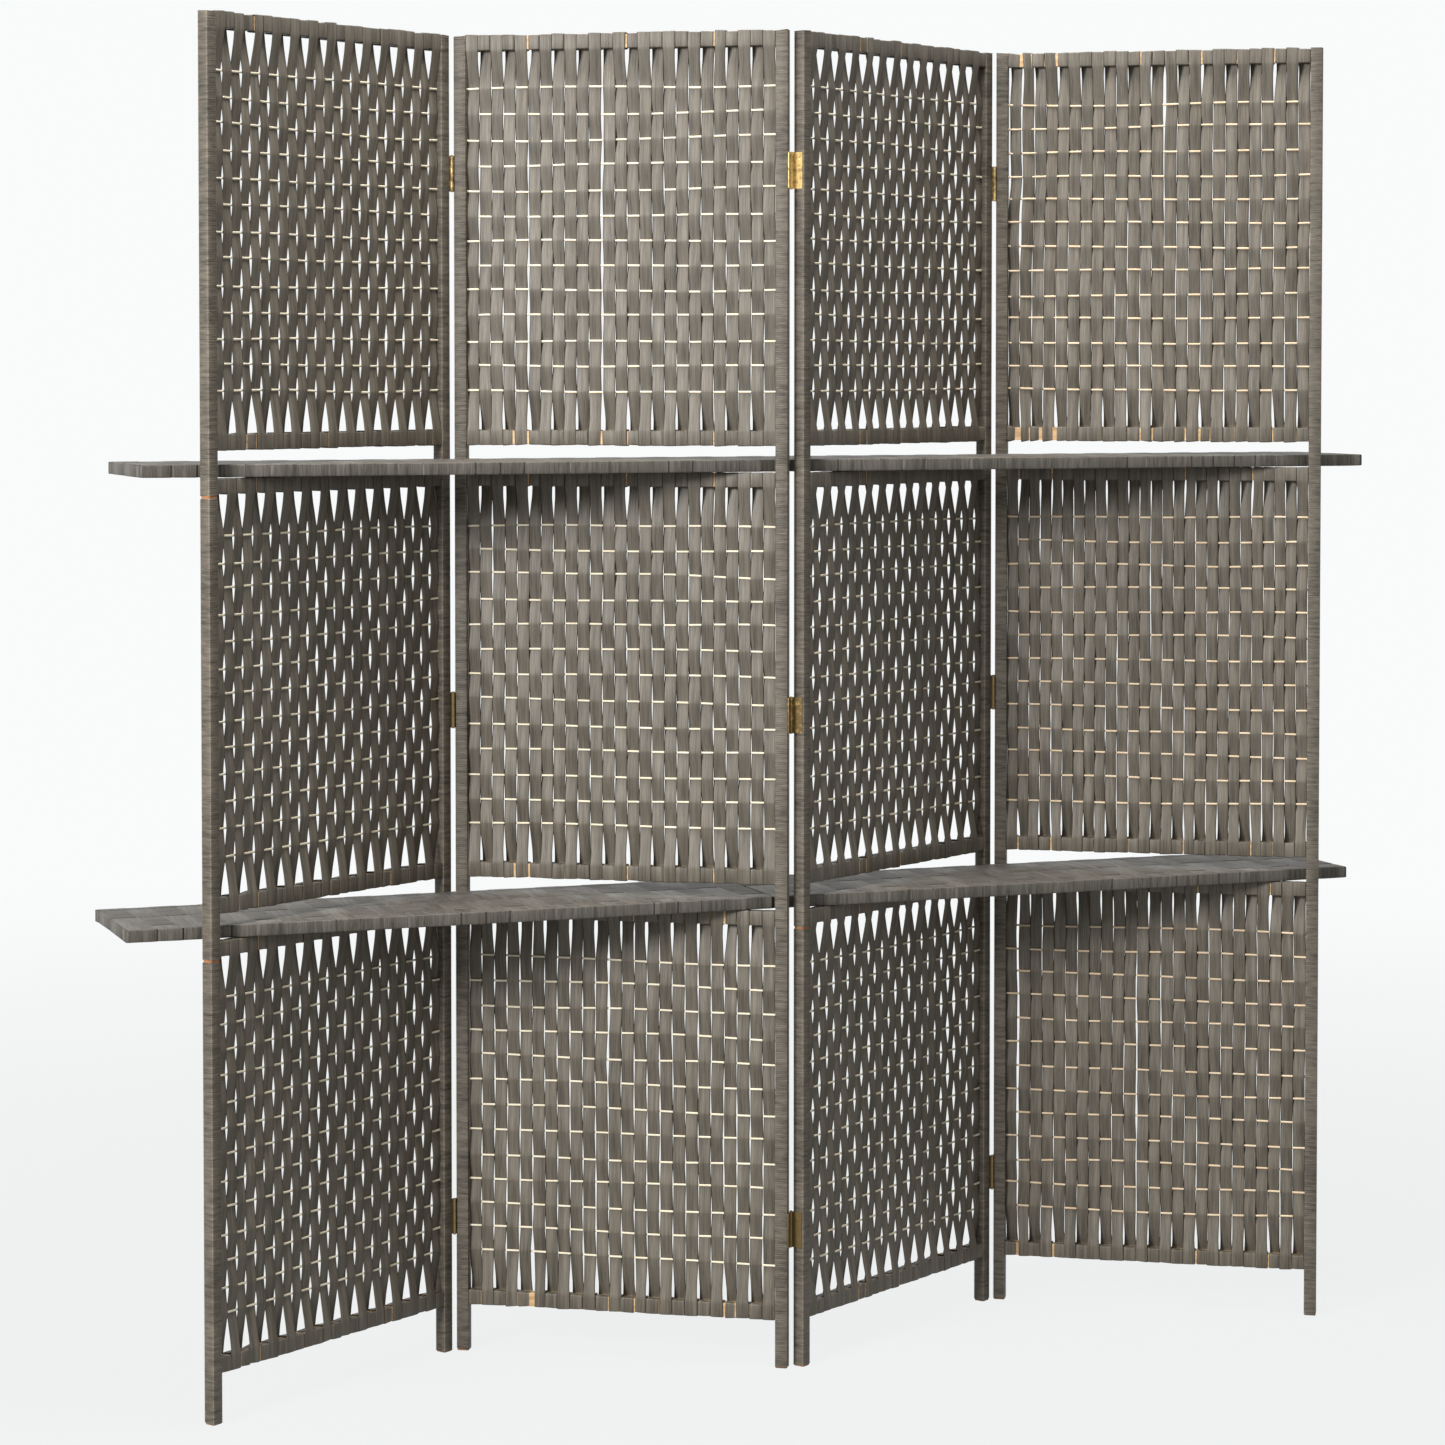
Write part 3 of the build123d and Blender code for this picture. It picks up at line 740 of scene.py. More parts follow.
def aged_brass(hinge):
    """Dull stamped brass: warm metal under blotches of tarnish, with painted shade that darkens it near the
    floor and at the back.
    """
    material, tree, shader = new_material("Aged brass")
    spot = add(tree, "ShaderNodeTexCoord").outputs["Object"]
    blotch = add(tree, "ShaderNodeTexNoise", ("Vector", spot), ("Scale", 1 / TARNISH_SPOT), ("Detail", 4.0),
                 ("Roughness", 0.65)).outputs["Fac"]
    where = add(tree, "ShaderNodeSeparateXYZ", (0, spot))
    # Painted shade: the brass is drawn nearer the tarnish colour towards the floor and at the back
    at_back = add(tree, "ShaderNodeMath", (0, where.outputs["Y"]), (1, 0.0), operation="GREATER_THAN")
    height = add(tree, "ShaderNodeMapRange", ("Value", where.outputs["Z"]), ("From Min", 0.2),
                 ("From Max", 1.6),
                 ("To Min", -0.36), ("To Max", 0.07))
    painted_shade_shift = add(tree, "ShaderNodeMath", (0, at_back), (1, -0.14), (2, height), operation="MULTIPLY_ADD")
    level = add(tree, "ShaderNodeMath", (0, blotch), (1, painted_shade_shift))
    ramp = add(tree, "ShaderNodeValToRGB", (0, level))
    set_stops(ramp, (0.36, hinge.tarnish), (0.6, hinge.brass))
    rough = add(tree, "ShaderNodeMapRange", ("Value", blotch), ("To Min", 0.62), ("To Max", 0.3))
    bump = add(tree, "ShaderNodeBump", ("Height", blotch), ("Strength", 0.15), ("Distance", 0.3 * MM))
    feed(tree, shader, ("Base Color", ramp), ("Roughness", rough), ("Normal", bump), ("Metallic", 0.6))
    return material


def seen_directly(tree):
    """One for rays from the camera, straight or by way of metal or glass, and zero for the others."""
    rays = add(tree, "ShaderNodeLightPath")
    seen = rays.outputs["Is Camera Ray"]
    for kind in ("Is Glossy Ray", "Is Transmission Ray"):
        seen = add(tree, "ShaderNodeMath", (0, seen), (1, rays.outputs[kind]), operation="MAXIMUM")
    return seen


def plain_backdrop(studio):
    """Matt painted board. The camera sees it near its own pale colour, and the shadow stays on it."""
    material, tree, shader = new_material("Matt painted board")
    spot = add(tree, "ShaderNodeTexCoord").outputs["Object"]
    roller = add(tree, "ShaderNodeTexNoise", ("Vector", spot), ("Scale", 1 / ROLLER_GRAIN), ("Detail", 2.0))
    tone = add(tree, "ShaderNodeMapRange", ("Value", roller.outputs["Fac"]), ("To Min", 0.97),
               ("To Max", 1.0))
    paint = add(tree, "ShaderNodeVectorMath", (0, studio.floor_colour[:3]), ("Scale", tone),
                operation="SCALE")
    feed(tree, shader, ("Base Color", paint), ("Roughness", 0.9))
    # Round the screen its shadow shows; farther out the floor passes into the background
    away = add(tree, "ShaderNodeVectorMath", (0, spot), operation="LENGTH").outputs["Value"]
    share = add(tree, "ShaderNodeMapRange", ("Value", away), ("From Min", 1.2), ("From Max", 5.0),
                ("To Min", 0.88), ("To Max", 1.0), interpolation_type="SMOOTHSTEP")
    much = add(tree, "ShaderNodeMath", (0, seen_directly(tree)), (1, share), operation="MULTIPLY")
    glow = add(tree, "ShaderNodeEmission", ("Color", studio.backdrop_colour), ("Strength", 1.0))
    mix = add(tree, "ShaderNodeMixShader", (0, much), (1, shader), (2, glow))
    output = next(node for node in tree.nodes if node.type == "OUTPUT_MATERIAL")
    feed(tree, output, ("Surface", mix))
    return material


# Routes of the strips


def corner(centre, start, end, radius, steps=3):
    """Points of a corner's arc from one angle to another, in degrees, in the YZ plane."""
    points = []
    for step in range(steps + 1):
        angle = math.radians(start + (end - start) * step / steps)
        points.append((centre[0] + radius * math.cos(angle), centre[1] + radius * math.sin(angle)))
    return points


def rail_turn(side, middle_height, up, weave):
    """One turn of a strip round a rail, as (depth, height) points that end on the face it leaves from.

    side is -1 for a strip that leaves from the front and 1 from the back, up is 1 for the upper rail and
    -1 for the lower one.
    """
    tight = 0.2 * MM if side > 0 else 0.0
    deep = (weave.rail_depth - weave.strip_thickness) / 2 - tight
    high = (weave.rail_height - weave.strip_thickness) / 2 - tight
    radius = 1.0 * MM
    spread = 1.0 * MM if side < 0 else 0.0
    tail = 4.5 * MM
    points = [(-(deep - tail), -high - spread)]
    points += corner((deep - radius, -high + radius - spread), -90, 0, radius)
    points += corner((deep - radius, high - radius), 0, 90, radius)
    points += corner((-deep + radius, high - radius), 90, 180, radius)
    points.append((-deep, -high + radius))
    return [(-side * y, middle_height + up * z) for y, z in points]


# A strip's depth on its way from one stick to the next, as shares of the way and of the depth
BEND = ((0, 1.0), (0.08, 0.89), (0.17, 0.736), (0.27, 0.532), (0.38, 0.284), (0.5, 0.0),
        (0.62, -0.284), (0.73, -0.532), (0.83, -0.736), (0.92, -0.89))

# A strip's width on a rail, and its way from there to the first stick with its width: pinched just off the
# rail, then spread again
TURN_WIDTH = 1.05
PINCH = ((0.02, 1.03), (0.07, 1.0), (0.18, 0.96), (0.3, 0.93), (0.52, 0.95), (0.78, 0.99))


def strip_route(side, panel, section, weave):
    """One strip of a section from the upper rail's turn, past all the sticks, to the lower rail's turn."""
    low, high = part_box(f"{panel}_{section}_weave")
    rows = row_heights(panel, section, weave)
    reach = (weave.stick_diameter + weave.strip_thickness) / 2
    deep = (weave.rail_depth - weave.strip_thickness) / 2
    upper = rail_turn(side, high.z - weave.rail_height / 2, 1, weave)
    lower = rail_turn(side, low.z + weave.rail_height / 2, -1, weave)
    first, last = -side * reach, -side * reach * (-1) ** (len(rows) - 1)

    def leave(edge, row, peak):
        """Points from a rail's edge to the stick next to it."""
        return [(side * deep + (peak - side * deep) * share, edge + (row - edge) * share, width, share)
                for share, width in PINCH]

    route = [(y, z, TURN_WIDTH, 0.0) for y, z in upper]
    route += leave(high.z - weave.rail_height, rows[0], first)
    for row, height in enumerate(rows):
        for share, bend in BEND if row < len(rows) - 1 else BEND[:1]:
            route.append((first * (-1) ** row * bend, height - share * weave.stick_pitch, 1.0, 1.0))
    route += reversed(leave(low.z + weave.rail_height, rows[-1], last))
    route += [(y, z, TURN_WIDTH, 0.0) for y, z in reversed(lower)]
    points = [(0, y, z) for y, z, _, _ in route]
    return points, [width for *_, width, _ in route], [free for *_, free in route]


class WovenPiece:
    """What the operators that build pieces share."""

    bl_options = {"REGISTER", "UNDO"}


class SCREEN_OT_weave(WovenPiece, bpy.types.Operator):
    """Weave the paper strips of every section round its rails and sticks"""

    bl_idname = "woven_screen.weave"
    bl_label = "Woven Sections"

    def execute(self, context):
        weave, winding = context.scene.screen_weave, context.scene.screen_winding
        tree = strip_tree()
        # These strips get painted shade at their edges, and painted light and shade by how their faces lean
        paper = fibre_strip("Pressed paper fibre", weave.strip_dark, weave.strip_light, fibre_width=0.7 * MM,
                            sheen_direction=0.25, gloss=0.5, edge_shade=0.4, lean_shade=0.11)
        for number, panel in enumerate(PANELS):
            for section in SECTIONS:
                count, first_kind = STRIPS[panel][section]
                pitch = inner_width(panel, winding) / count
                routes = []
                for kind, side in enumerate((-1, 1)):
                    points, widths, free = strip_route(side, panel, section, weave)
                    routes.append((points, False, kind, widths, free))
                turn_length = 2 * (weave.rail_height + weave.rail_depth)
                slits = {}
                for place, ((after, start, end), width) in enumerate(SLITS.get((panel, section), ()), 1):
                    slits[f"Slit {place}"] = (after, start * MM + turn_length, end * MM + turn_length)
                    slits[f"Slit {place} width"] = width * MM
                low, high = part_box(f"{panel}_{section}_weave")
                piece = grown(f"{panel}_{section}_strips", chains("routes", routes), tree, {
                    **slits, "Strips": count, "Spacing": (pitch, 0, 0), "First kind": first_kind,
                    "Width": min(weave.strip_width, pitch - weave.strip_gap),
                    "Thickness": weave.strip_thickness,
                    "Wander": weave.strip_wander, "Row wander": weave.row_wander,
                    "Upper rail": high.z - weave.rail_height / 2, "Lower rail": low.z + weave.rail_height / 2,
                    "Gaps on rails": weave.rail_gaps,
                    "Upper lumps": weave.top_lumps if section == "upper" else 0.0,
                    "Lower lumps": -weave.low_lumps, "Seed": PANEL_SEED * number, "Material": paper,
                }, panel_matrix(panel))
                seat(piece, panel, "woven_paper", f"{panel}_{section}_weave")
        return {"FINISHED"}


class SCREEN_OT_sticks(WovenPiece, bpy.types.Operator):
    """Lay the thin peeled sticks across every section"""

    bl_idname = "woven_screen.sticks"
    bl_label = "Sticks"

    def execute(self, context):
        weave, winding = context.scene.screen_weave, context.scene.screen_winding
        tree = stick_tree()
        wood = grained_wood("Peeled stick wood", linear("#efdfbb"), weave.stick_colour, 0.55, STICK_GRAIN)
        warm_wood = grained_wood("Warmer stick wood", linear("#e2c299"), linear("#f8e6ca"), 0.55, STICK_GRAIN)
        for number, panel in enumerate(PANELS):
            half = inner_width(panel, winding) / 2
            routes = []
            for section in SECTIONS:
                for height in row_heights(panel, section, weave):
                    routes.append(([(-half, 0, height), (half, 0, height)], False, 0, None, None))
            piece = grown(f"{panel}_peeled_sticks", chains("routes", routes), tree, {
                "Diameter": weave.stick_diameter, "Row wander": weave.row_wander,
                "Seed": PANEL_SEED * number, "Material": warm_wood if panel == PANELS[-1] else wood,
            }, panel_matrix(panel))
            seat(piece, panel, "stick_wood", f"{panel}_sticks")
        return {"FINISHED"}


class SCREEN_OT_posts(WovenPiece, bpy.types.Operator):
    """Wind twisted paper cord round the posts"""

    bl_idname = "woven_screen.posts"
    bl_label = "Post Windings"

    def execute(self, context):
        winding = context.scene.screen_winding
        tree = winding_tree()
        cord = twisted_cord(winding)
        for number, panel in enumerate(PANELS):
            half = post_spacing(panel) / 2
            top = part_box(f"{panel}_left_post")[1].z + winding.top_rise
            for side, hand in zip((-1, 1), HANDS):
                ends = [winding.winding_rise]
                for section in BARE_BANDS.get((panel, hand), ()):
                    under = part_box(f"{panel}_{section}_weave")[1].z - winding.band_depth
                    ends += [under - winding.bare_gap, under]
                ends.append(top)
                lines = [([(side * half, 0, low), (side * half, 0, high)], False, 0, None, None)
                         for low, high in zip(ends[::2], ends[1::2])]
                piece = grown(f"{panel}_{hand}_winding", chains("line", lines), tree, {
                    "Turn height": winding.turn_height, "Post width": winding.post_width,
                    "Corner radius": winding.corner_radius, "Ridge depth": winding.ridge_depth,
                    "Seed": 1.9 * number + 0.7 * side, "Material": cord,
                }, panel_matrix(panel))
                nodes = (f"{panel}_post_wraps",) if side < 0 else ()
                seat(piece, panel, "wound_paper", *nodes)
        return {"FINISHED"}


# Shelf boards


# Where the strips along a board lie, as shares of its depth from the front
LANES = ((0.01, 0.16), (0.16, 0.55), (0.55, 0.92), (0.92, 0.99))

# A strip round a board changes its level over twice this length. A strip along it keeps its level for this
# share of the pitch on each side of the one it crosses, and fills this share of its lane
DIVE = 1.5 * MM
PASS = 0.42
LANE_FILL = 0.985


def board_route(kind, depth, height, shelf):
    """A closed loop round a board. Kind 0 dives under the third lane, kind 1 under the second and fourth."""
    lift = shelf.strip_thickness
    radius = shelf.edge_radius
    y_end, z_end = (depth - lift) / 2, (height - lift) / 2
    over = (True, True, False, True) if kind == 0 else (True, False, True, False)
    face = [(-y_end + radius, 0.0)]
    for lane in (1, 2, 3):
        if over[lane] != over[lane - 1]:
            y = (LANES[lane][0] - 0.5) * depth
            face.append((y - DIVE, 0.0 if over[lane - 1] else -lift))
            face.append((y + DIVE, 0.0 if over[lane] else -lift))
    face.append((y_end - radius, face[-1][1]))
    dive = face[-1][1]
    loop = [(y, z_end + dz) for y, dz in face]
    loop += corner((y_end - radius, z_end - radius + dive), 90, 0, radius)[1:]
    loop += corner((y_end - radius, -z_end + radius - dive), 0, -90, radius)
    loop += [(y, -z_end - dz) for y, dz in reversed(face)][1:]
    loop += corner((-y_end + radius, -z_end + radius), 270, 180, radius)[1:]
    loop += corner((-y_end + radius, z_end - radius), 180, 90, radius)[:-1]
    return [(0, y, z) for y, z in loop]


def lengthwise_routes(size, shelf, pitch):
    """Closed loops along a board that go over and under the cross strips by turns and wrap its two ends."""
    lift = shelf.strip_thickness
    count = shelf.cross_count
    widest = max(back - front for front, back in LANES)
    x_end, z_end = (size.x - lift) / 2, (size.z - lift) / 2
    radius = shelf.edge_radius
    routes = []
    for lane, (front, back) in enumerate(LANES):
        y, width = ((front + back) / 2 - 0.5) * size.y, (back - front) / widest
        top = []
        for cross in range(count):
            x = (cross - (count - 1) / 2) * pitch
            over = lane > 0 and (cross + lane) % 2 == 0
            for step in (-PASS, PASS):
                top.append((x + step * pitch, y, z_end - (0.0 if over else lift), width * LANE_FILL))
        arcs = corner((x_end - radius, z_end - radius), 90, 0, radius)
        right = [(x, y, z, width) for x, z in arcs]
        left = [(-x, y, z, width) for x, z in reversed(arcs)]
        under = [(x, y_, -z, w) for x, y_, z, w in reversed(left + top + right)]
        loop = top + right + under + left
        routes.append(([(x, y_, z) for x, y_, z, _ in loop], True, 0, [w for *_, w in loop], None))
    return routes


def round_corners(mesh, centre, size, corner_radius):
    """Draws the strips at a board's four corners in to the corners' rounding, seen in plan."""
    for vertex in mesh.vertices:
        offset = [vertex.co[axis] - centre[axis] for axis in (0, 1)]
        beyond = [abs(offset[axis]) - size[axis] / 2 + corner_radius for axis in (0, 1)]
        if min(beyond) > 0:
            share = max(beyond) / math.hypot(*beyond)
            for axis in (0, 1):
                vertex.co[axis] += math.copysign(beyond[axis] * (share - 1), offset[axis])


def rounded_slab(name, size, corner_radius, edge_radius, material):
    """A board's body: a slab with round corners in plan and eased edges, its middle at the origin."""
    built = bmesh.new()
    x, y, z = size[0] / 2, size[1] / 2, size[2] / 2
    ring = []
    for cx, cy, start in ((x, y, 0), (-x, y, 90), (-x, -y, 180), (x, -y, 270)):
        centre = (cx - math.copysign(corner_radius, cx), cy - math.copysign(corner_radius, cy))
        ring += corner(centre, start, start + 90, corner_radius, 8)
    edge = corner((0, 0), 0, 90, edge_radius, 4)
    levels = [(edge_radius - inset, z - edge_radius + drop) for drop, inset in edge]
    levels = [(inset, -height) for inset, height in levels] + list(reversed(levels))
    rows = []
    for inset, height in levels:
        rows.append([built.verts.new((px - math.copysign(inset, px), py - math.copysign(inset, py), height))
                     for px, py in ring])
    join_rings(built, rows)
    cap_ends(built, rows)
    mesh = bpy.data.meshes.new(name)
    built.to_mesh(mesh)
    built.free()
    mesh.uv_layers.new(name="fibre_map")
    mesh.materials.append(material)
    mesh.shade_smooth()
    return mesh


class SCREEN_OT_shelves(WovenPiece, bpy.types.Operator):
    """Cover the shelf boards with wide paper strips in a plain weave"""

    bl_idname = "woven_screen.shelves"
    bl_label = "Shelf Covers"

    def execute(self, context):
        shelf = context.scene.screen_shelf
        tree = strip_tree()
        # These strips get painted shade at their edges and on the boards' upright sides
        paper = fibre_strip("Wide paper strip", shelf.strip_dark, shelf.strip_light, fibre_width=0.9 * MM,
                            sheen_direction=0.3, gloss=0.3, edge_shade=0.2, upright_shade=0.68)
        for storey in STOREYS:
            for hand in HANDS:
                body = f"{storey}_{hand}_shelf"
                low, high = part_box(f"{body}_cover")
                low.z += shelf.seat_room
                size = high - low
                place = Matrix.Translation((low + high) / 2)
                skins = 2 * shelf.strip_thickness
                pitch = (size.x - skins - shelf.strip_lap) / shelf.cross_count
                routes = [(board_route(kind, size.y, size.z, shelf), True, kind, None, None)
                          for kind in (0, 1)]
                seed = 5.5 * len(storey) + 1.7 * len(hand)
                cross = grown(f"{body}_cross_strips", chains("routes", routes), tree, {
                    "Strips": shelf.cross_count, "Spacing": (pitch, 0, 0), "Width": pitch + shelf.strip_lap,
                    "Thickness": shelf.strip_thickness, "Wander": 0.2 * MM, "Width change": 0.01,
                    "Seed": seed, "Material": paper,
                }, place)
                seat(cross, body, "shelf_paper", f"{body}_cover")
                guide = chains("routes", lengthwise_routes(size, shelf, pitch))
                widest = max(back - front for front, back in LANES)
                along = grown(f"{body}_long_strips", guide, tree, {
                    "Strips": 1, "Spacing": (0, 0.001, 0), "Width": widest * size.y,
                    "Thickness": shelf.strip_thickness, "Wander": 0.3 * MM, "Width change": 0.01,
                    "Seed": seed + 2, "Material": paper,
                }, place)
                seat(along, body, "shelf_paper")
                for strips in (cross, along):
                    round_corners(strips.data, (low + high) / 2, size, shelf.corner_radius)
                slab = rounded_slab("slab", (size.x - skins, size.y - skins, size.z - 2 * skins + 0.2 * MM),
                                    shelf.corner_radius - shelf.strip_thickness, shelf.edge_radius, paper)
                slab.transform(place)
                seat(new_object(f"{body}_under_cover", slab), body, "shelf_paper")
        return {"FINISHED"}


# Hinges

# Small sizes of a hinge: play between knuckles and round the pin, eased edges, the pin's heads and the screws
PLAY = 0.15 * MM
PIN_PLAY = 0.05 * MM
KNUCKLE_EASE = 0.25 * MM
LEAF_START = 0.9 * MM
LEAF_CORNER = 1.2 * MM
HEAD_RADIUS = 1.7 * MM
HEAD_HEIGHT = 0.8 * MM
HEAD_EASE = 0.3 * MM
SCREW_RADIUS = 2.6 * MM
SCREW_SIDES = 16
SLOT_DEPTH = 0.5 * MM

# A screw's slot and its domed head: half the slot's width and each ring's reach as shares of the radius
SLOT_SHARE = 0.18
DOME = ((1.0, 0.0), (0.93, 0.09 * MM), (0.6, 0.14 * MM), (0.22, 0.16 * MM))


def turned_ring(radius, sides):
    """Points of a circle, as pairs."""
    angles = [2 * math.pi * step / sides for step in range(sides)]
    return [(radius * math.cos(angle), radius * math.sin(angle)) for angle in angles]


def add_bar(built, radius, low, high, place, sides=24, bore=0.0, ease=0.0):
    """Adds an upright round bar, or a tube with a bore, to a mesh being built."""
    outline = [(radius - ease, low), (radius, low + ease), (radius, high - ease), (radius - ease, high)]
    if bore:
        outline += [(bore, high), (bore, low)]
    rings = []
    for reach, height in outline:
        rings.append([built.verts.new(place @ Vector((x, y, height))) for x, y in turned_ring(reach, sides)])
    if bore:
        join_rings(built, rings + rings[:1])
    else:
        join_rings(built, rings)
        cap_ends(built, rings)


def add_plate(built, low, high, radius, place):
    """Adds an upright leaf plate with round outer corners; low and high are its corners."""
    points = []
    for y, z, start in ((high.y, high.z, 0), (low.y, high.z, 90), (low.y, low.z, 180), (high.y, low.z, 270)):
        centre = (y - math.copysign(radius, y - (low.y + high.y) / 2),
                  z - math.copysign(radius, z - (low.z + high.z) / 2))
        points += corner(centre, start, start + 90, radius, 4)
    faces = [[built.verts.new(place @ Vector((x, y, z))) for y, z in points] for x in (low.x, high.x)]
    join_rings(built, faces)
    cap_ends(built, faces)


def add_screw(built, radius, place):
    """Adds a countersunk screw's head with a straight slot, standing a touch proud of its leaf."""
    rings = []
    for share, height in DOME:
        ring = []
        for y, z in turned_ring(share * radius, SCREW_SIDES):
            beside = abs(y) / (SLOT_SHARE * radius)
            sunk = SLOT_DEPTH * (1 - beside) if beside < 1 and share < 0.95 else 0
            ring.append(built.verts.new(place @ Vector((height - sunk, y, z))))
        rings.append(ring)
    join_rings(built, rings)
    cap_ends(built, rings)


def finished_mesh(built, name, place, material):
    """Closes a hand-built mesh: outward faces, its place in the screen and its material."""
    bmesh.ops.recalc_face_normals(built, faces=built.faces)
    mesh = bpy.data.meshes.new(name)
    built.to_mesh(mesh)
    built.free()
    mesh.transform(place)
    mesh.materials.append(material)
    mesh.shade_smooth()
    mesh.set_sharp_from_angle(angle=math.radians(35))
    return mesh


class SCREEN_OT_hinges(WovenPiece, bpy.types.Operator):
    """Fit the brass butt hinges: leaves, knuckles, pins and screws"""

    bl_idname = "woven_screen.hinges"
    bl_label = "Hinges"

    def execute(self, context):
        hinge = context.scene.screen_hinge
        brass = aged_brass(hinge)
        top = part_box("panel_1_left_post")[1].z
        half = hinge.height / 2
        head = half - PLAY + HEAD_HEIGHT
        for number in (1, 2, 3):
            low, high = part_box(f"hinge_{number}_pins")
            centre = (low + high) / 2
            closing = -1 if number % 2 else 1
            heights = (low.z + head, top / 2 - hinge.middle_drop, high.z - head)
            for panel_number, side, hand in ((number, -1, "left"), (number + 1, 1, "right")):
                panel = f"panel_{panel_number}"
                turned = Matrix.Translation((centre.x, centre.y, 0)) @ panel_matrix(panel).to_3x3().to_4x4()
                built = bmesh.new()
                for height in heights:
                    self.add_leaf(built, hinge, side, -closing, Matrix.Translation((0, 0, height)))
                name = f"hinge_{number}_{hand}_brass_leaves"
                piece = new_object(name, finished_mesh(built, name, turned, brass))
                seat(piece, panel, "hinge_brass", f"hinge_{number}_{hand}_leaves")
            built = bmesh.new()
            for height in heights:
                place = Matrix.Translation((centre.x, centre.y, height))
                add_bar(built, hinge.pin_radius, -half + PLAY, half - PLAY, place)
                for end in (-head, head - HEAD_HEIGHT):
                    add_bar(built, HEAD_RADIUS, end, end + HEAD_HEIGHT, place, ease=HEAD_EASE)
            name = f"hinge_{number}_brass_pins"
            piece = new_object(name, finished_mesh(built, name, Matrix.Identity(4), brass))
            body = "panel_2" if number < 3 else "panel_3"
            seat(piece, body, "hinge_brass", f"hinge_{number}_pins")
        return {"FINISHED"}

    def add_leaf(self, built, hinge, side, away, place):
        """Adds one leaf with its knuckles and screws; away is where it lies, seen from its pin."""
        half = hinge.height / 2
        knuckle = hinge.height / 3
        inner, outer = side * (hinge.gap / 2 - hinge.leaf_thickness), side * hinge.gap / 2
        reach = hinge.pin_proud + hinge.leaf_width
        low = Vector((min(inner, outer), min(LEAF_START * away, away * reach), -half + PLAY))
        high = Vector((max(inner, outer), max(LEAF_START * away, away * reach), half - PLAY))
        add_plate(built, low, high, LEAF_CORNER, place)
        for spot in (-1, 1) if side < 0 else (0,):
            add_bar(built, hinge.knuckle_radius, (spot - 0.5) * knuckle + PLAY, (spot + 0.5) * knuckle - PLAY,
                    place, bore=hinge.pin_radius + PIN_PLAY, ease=KNUCKLE_EASE)
        flip = Matrix.Rotation(math.pi if side > 0 else 0, 4, "Z")
        for lift in (-1, 1):
            spot = (inner, away * (hinge.pin_proud + hinge.leaf_width / 2), lift * hinge.screw_spread)
            add_screw(built, SCREW_RADIUS, place @ Matrix.Translation(spot) @ flip)


class SCREEN_OT_bare_wood(WovenPiece, bpy.types.Operator):
    """Give the posts' and rails' wood their grain"""

    bl_idname = "woven_screen.bare_wood"
    bl_label = "Bare Wood"

    def execute(self, context):
        pine = grained_wood("Bare softwood", linear("#8a5c3b"), linear("#b07a50"), 0.6, POST_GRAIN)
        rail_wood = grained_wood("Bare rail wood", linear("#bb8f5f"), linear("#e6c899"), 0.6, RAIL_GRAIN)
        for panel in PANELS:
            for hand in HANDS:
                dress(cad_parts[f"{panel}_{hand}_post"], pine)
            for section in SECTIONS:
                dress(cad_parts[f"{panel}_{section}_rails"], rail_wood)
        return {"FINISHED"}


def dress(node, material):
    """Puts one material on every slot of a CAD node."""
    if not node.material_slots:
        node.data.materials.append(material)
    for slot in node.material_slots:
        slot.material = material


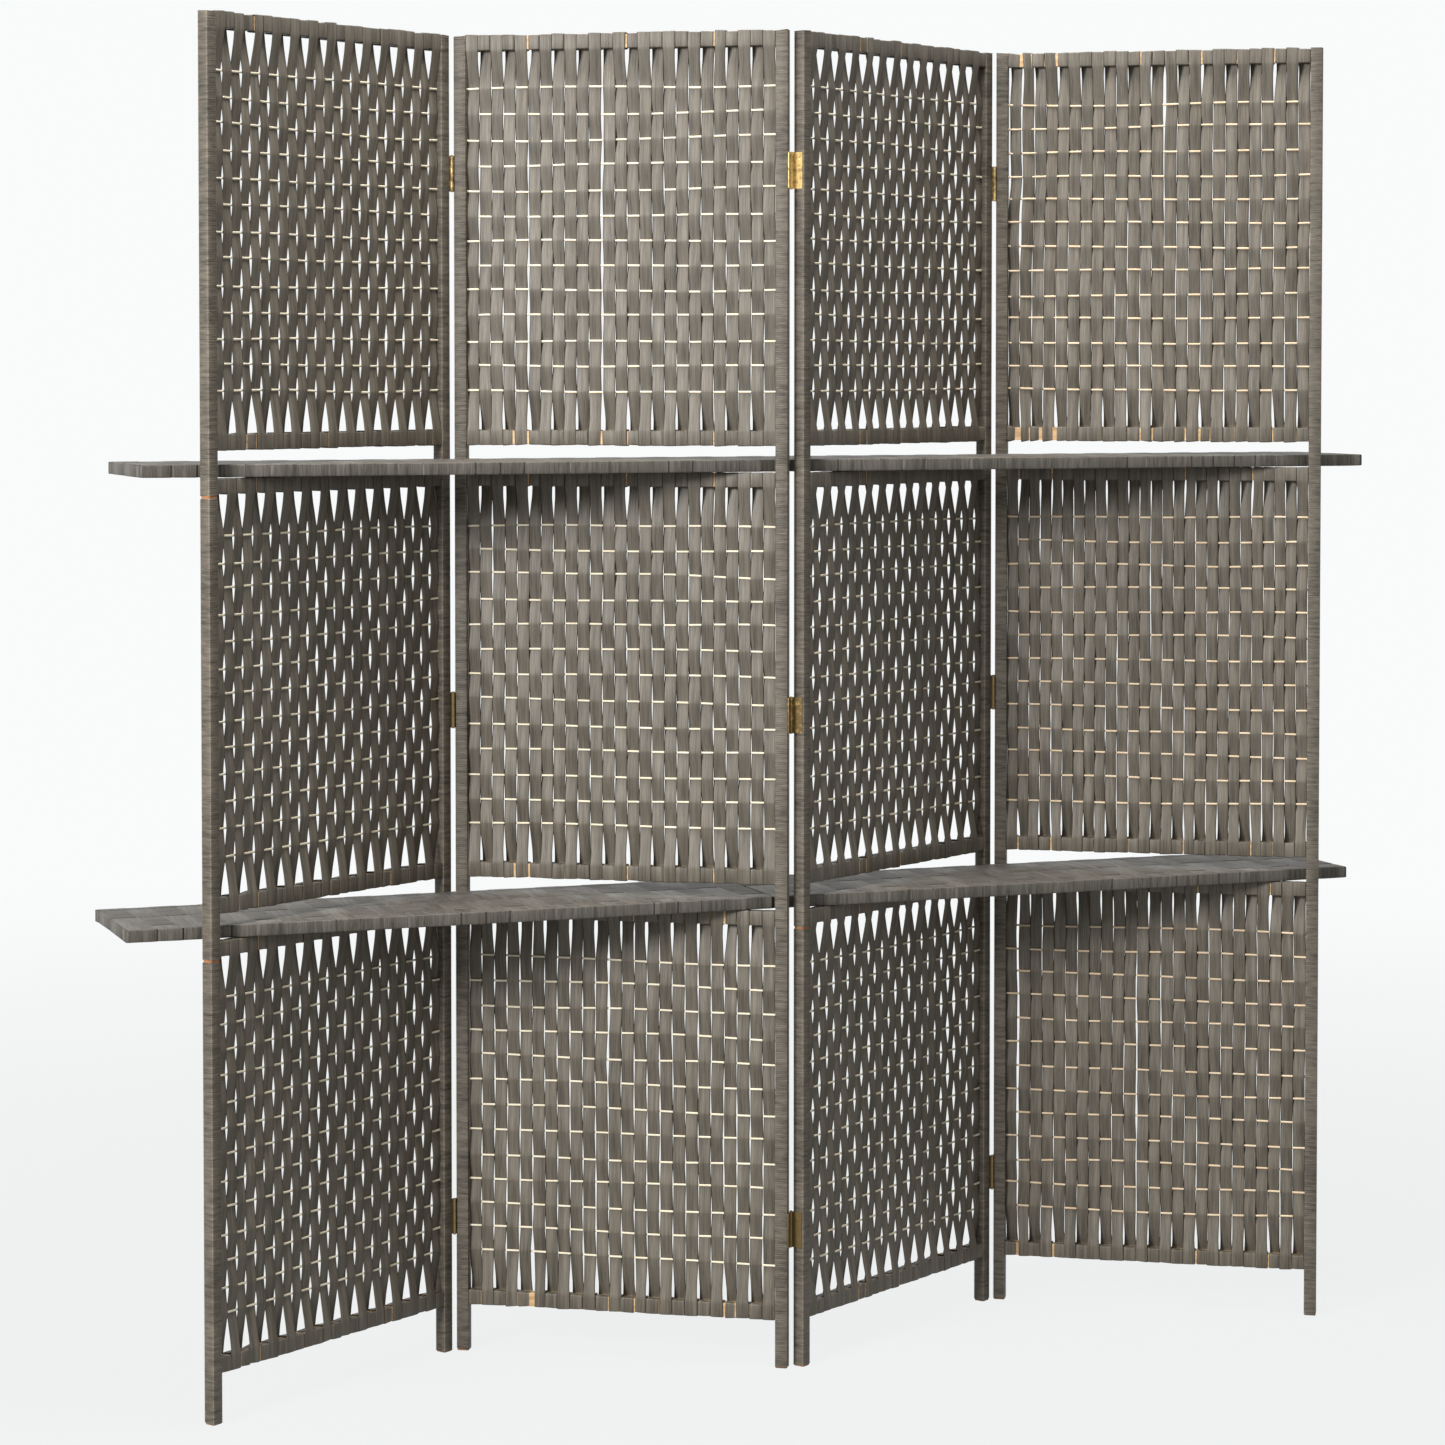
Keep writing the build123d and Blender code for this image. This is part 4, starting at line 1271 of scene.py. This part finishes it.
class SCREEN_OT_studio(WovenPiece, bpy.types.Operator):
    """Set up the floor, the backdrop, the lamps and the camera"""

    bl_idname = "woven_screen.studio"
    bl_label = "Studio"

    def execute(self, context):
        studio = context.scene.screen_studio
        scene = context.scene
        scene.view_settings.view_transform = "Standard"

        # The camera stands left of the screen's middle at eye height. Its focal length counts in pixels of
        # the photograph's frame
        image_side, focal_pixels, sensor = 1445, 3744.26, 36
        camera = new_object("Camera", bpy.data.cameras.new("Camera"))
        camera.data.sensor_width = sensor
        camera.data.lens = focal_pixels / image_side * sensor
        camera.data.shift_y = -0.15
        camera.data.clip_end = 60
        camera.location = (-1.83528, -4.79275, 1.34760)
        yaw, pitch = math.radians(20.473), math.radians(-2.081)
        camera.rotation_euler = (math.pi / 2 + pitch, 0, -yaw)
        scene.camera = camera

        reach, under = 40.0, cad_box[0][2] - 0.2 * MM
        corners = ((-reach, -reach), (reach, -reach), (reach, reach), (-reach, reach))
        floor_mesh = bpy.data.meshes.new("floor")
        floor_mesh.from_pydata([(x, y, under) for x, y in corners], [], [(0, 1, 2, 3)])
        floor_mesh.materials.append(plain_backdrop(studio))
        floor = new_object("floor", floor_mesh)

        aim = Vector((0, 0, 0.85))
        for name, power, place, size in (
            ("Key", studio.key_power, (-3.9, -2.4, 2.4), 1.2),
            ("Top", studio.top_power, (0.0, -0.6, 3.6), 1.2),
            ("Fill", studio.fill_power, (3.2, -3.6, 2.2), 2.5),
        ):
            lamp = new_object(name, bpy.data.lights.new(name, "AREA"))
            lamp.data.energy = power
            lamp.data.size = size
            lamp.location = place
            lamp.rotation_euler = (aim - Vector(place)).to_track_quat("-Z", "Y").to_euler()

        world = bpy.data.worlds.new("Even light")
        scene.world = world
        world.use_nodes = True
        tree = world.node_tree
        tree.nodes.clear()
        seen = seen_directly(tree)
        dim = add(tree, "ShaderNodeBackground", ("Color", linear("#ffffff")),
                  ("Strength", studio.world_strength))
        bright = add(tree, "ShaderNodeBackground", ("Color", studio.backdrop_colour), ("Strength", 1.0))
        mix = add(tree, "ShaderNodeMixShader", (0, seen), (1, dim), (2, bright))
        add(tree, "ShaderNodeOutputWorld", ("Surface", mix))
        return {"FINISHED"}


class SCREEN_PT_panel(bpy.types.Panel):
    """Lists the screen's pieces"""

    bl_idname = "SCREEN_PT_panel"
    bl_label = "Woven Folding Screen"
    bl_space_type = "VIEW_3D"
    bl_region_type = "UI"
    bl_category = "Screen"

    def draw(self, context):
        for operator in OPERATORS:
            self.layout.operator(operator.bl_idname)
        for name in SETTINGS:
            box = self.layout.box()
            settings = getattr(context.scene, name)
            for key in settings.__annotations__:
                box.prop(settings, key)


SETTINGS = {
    "screen_weave": WeaveSettings,
    "screen_winding": WindingSettings,
    "screen_shelf": ShelfSettings,
    "screen_hinge": HingeSettings,
    "screen_studio": StudioSettings,
}
OPERATORS = (SCREEN_OT_studio, SCREEN_OT_weave, SCREEN_OT_sticks, SCREEN_OT_posts, SCREEN_OT_shelves,
             SCREEN_OT_hinges, SCREEN_OT_bare_wood)


def register():
    for kind in (*SETTINGS.values(), *OPERATORS, SCREEN_PT_panel):
        bpy.utils.register_class(kind)
    for name, kind in SETTINGS.items():
        setattr(bpy.types.Scene, name, PointerProperty(type=kind))


def unregister():
    for name in SETTINGS:
        delattr(bpy.types.Scene, name)
    for kind in reversed((*SETTINGS.values(), *OPERATORS, SCREEN_PT_panel)):
        bpy.utils.unregister_class(kind)


def main():
    register()
    bpy.ops.woven_screen.studio()
    bpy.ops.woven_screen.weave()
    bpy.ops.woven_screen.sticks()
    bpy.ops.woven_screen.posts()
    bpy.ops.woven_screen.shelves()
    bpy.ops.woven_screen.hinges()
    bpy.ops.woven_screen.bare_wood()


if __name__ == "__main__":
    main()
